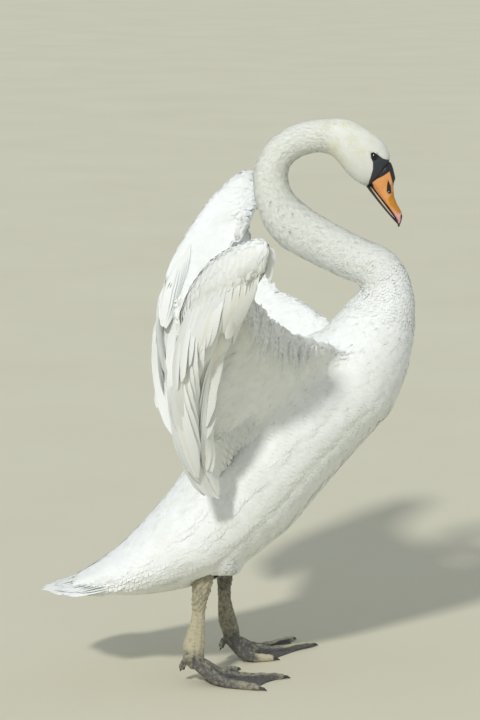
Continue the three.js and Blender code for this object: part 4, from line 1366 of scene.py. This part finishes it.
def add_leg(side, heel, toes, mud):
    """One leg and foot, drawn out of their solids, and its four claws."""
    leg = remeshed(f"leg_{side}", [f"tarsus_{side}", f"foot_{side}"], LEG_VOXEL, LEG)
    mesh = leg.data
    smooth_mesh(mesh, 14)
    points, normals, edges = points_of(mesh), slopes_of(mesh), edges_of(mesh)
    table = (points - ORIGIN) / MM
    height = table[:, 2]
    # The seam between tarsus and foot is closed over, and the root of the hind toe filled out.
    seam = np.clip(1.6 - np.abs(table[:, 2:] - FOOT_SEAM) / 7, 0, 1)
    for _ in range(24):
        points += seam * (even_out(points, edges, 1, keep_volume=False) - points)
    behind = falling(table[:, 0], heel[0] - 10, 8) * falling(height, 52, 8)
    points = points + normals * behind[:, None] * 2.2 * MM
    swell, ridge, toe_end = np.zeros((3, len(points)))
    for tip in toes:
        way = np.subtract(tip, heel)
        length = np.linalg.norm(way)
        off = table[:, :2] - heel
        share = off @ way / length**2
        aside = np.abs(off @ np.array([-way[1], way[0]]) / length)
        near = np.clip(1.6 - aside / 9, 0, 1) * (share < 1.1)
        # Pads swell between the joints of each toe.
        for knuckle in KNUCKLES:
            swell = np.maximum(swell, near * np.exp(-(((share - knuckle) * length / 7) ** 2)))
        ridge = np.maximum(ridge, near)
        toe_end = np.maximum(toe_end, near * rising(share, 0.5, 0.2))
    raised = rising(height, 2, 3)
    points = points + normals * ((swell * 1.5 - 0.5) * raised * (height < 50))[:, None] * MM
    lifted, web = web_height(table, normals, heel, toes)
    points[:, 2] += lifted * MM
    # The top runs up into the belly feathers.
    points[:, 2] += 24 * MM * rising(height, LEG_TOP, 45)
    # Ankle and heel are knobbly.
    knobs = np.prod(np.sin(table @ KNOB_WAVES), axis=1)
    bony = rising(height, 120, 16) + behind
    points = points + normals * (knobs * bony * 1.9)[:, None] * MM
    # Rings of scutes step down the front of the leg.
    steps = np.abs(np.sin(height * math.pi / 7)) * rising(height, 60, 20)
    points = points + normals * (steps * 0.5)[:, None] * MM
    points[:, 2] = np.maximum(points[:, 2], 0.0)
    move_points(mesh, points)
    shade_smooth(mesh)
    on_leg, on_ankle = rising(height, 45, 25), rising(height, 128, 14)
    # Toes carry more of the pale colour than the webs: dried mud, and along the toes a painted highlight; the
    # webs are kept darker.
    toe_mud_and_sheen = mud[1] + (0.14 * ridge + mud[2] * toe_end) * (1 - web) - 0.4 * web
    write_attribute(mesh, "mud", on_leg * (mud[0] - 0.1 * on_ankle) + (1 - on_leg) * toe_mud_and_sheen)
    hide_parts(f"tarsus_{side}", f"foot_{side}")
    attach(leg, "root")
    for toe in ("outer", "middle", "inner", "hind"):
        node = f"claw_{toe}_{side}"
        claw = remeshed(f"{node}_horn", [node], CLAW_VOXEL, CLAW)
        smooth_mesh(claw.data, 16)
        # Worn short, from the end that the toe holds.
        points = points_of(claw.data)
        held = points[np.linalg.norm(points[:, :2] - place((*heel, 0))[:2], axis=1).argmin()]
        move_points(claw.data, held + 0.8 * (points - held))
        shade_smooth(claw.data)
        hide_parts(node)
        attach(claw, "root")


for side, foot in FEET.items():
    add_leg(side, **foot)

# ---- Floor and light ----


def floor_material():
    """Fine pale concrete, floated smooth: matt, with faint cloudy patches."""
    made, tree = new_material("pale_floor", roughness=0.9)
    return coloured(made, mottled(tree, "#CBC6AE", "#D6D2BD", 1.5, 4))


# Half the width of the floor in metres; then the sun, from high on the right and before the bird, and
# the pale sky that fills its shadows.
FLOOR_REACH = 60
SUN_FROM, SUN_ENERGY, SUN_WIDTH, SUN_COLOUR = (-0.29, -0.72, 0.63), 2.05, 5, (1.0, 0.985, 0.96)
SKY_COLOUR, SKY_STRENGTH = (0.86, 0.93, 1.0, 1.0), 0.56


def add_floor():
    shape = bmesh.new()
    bmesh.ops.create_grid(shape, x_segments=1, y_segments=1, size=FLOOR_REACH)
    mesh = mesh_from("floor", shape)
    new_object("floor", mesh, floor_material())


def add_light():
    data = bpy.data.lights.new("key", "SUN")
    data.energy = SUN_ENERGY
    data.angle = math.radians(SUN_WIDTH)
    data.color = SUN_COLOUR
    key = bpy.data.objects.new("key", data)
    bpy.context.scene.collection.objects.link(key)
    key.rotation_mode = "QUATERNION"
    key.rotation_quaternion = Vector(SUN_FROM).to_track_quat("Z", "Y")
    world = bpy.data.worlds.new("studio")
    world.use_nodes = True
    sky = world.node_tree.nodes["Background"]
    sky.inputs["Color"].default_value = SKY_COLOUR
    sky.inputs["Strength"].default_value = SKY_STRENGTH
    bpy.context.scene.world = world
    bpy.context.scene.view_settings.view_transform = "Standard"


add_floor()
add_light()

print("coat and feather triangles", made_triangles, sum(made_triangles))
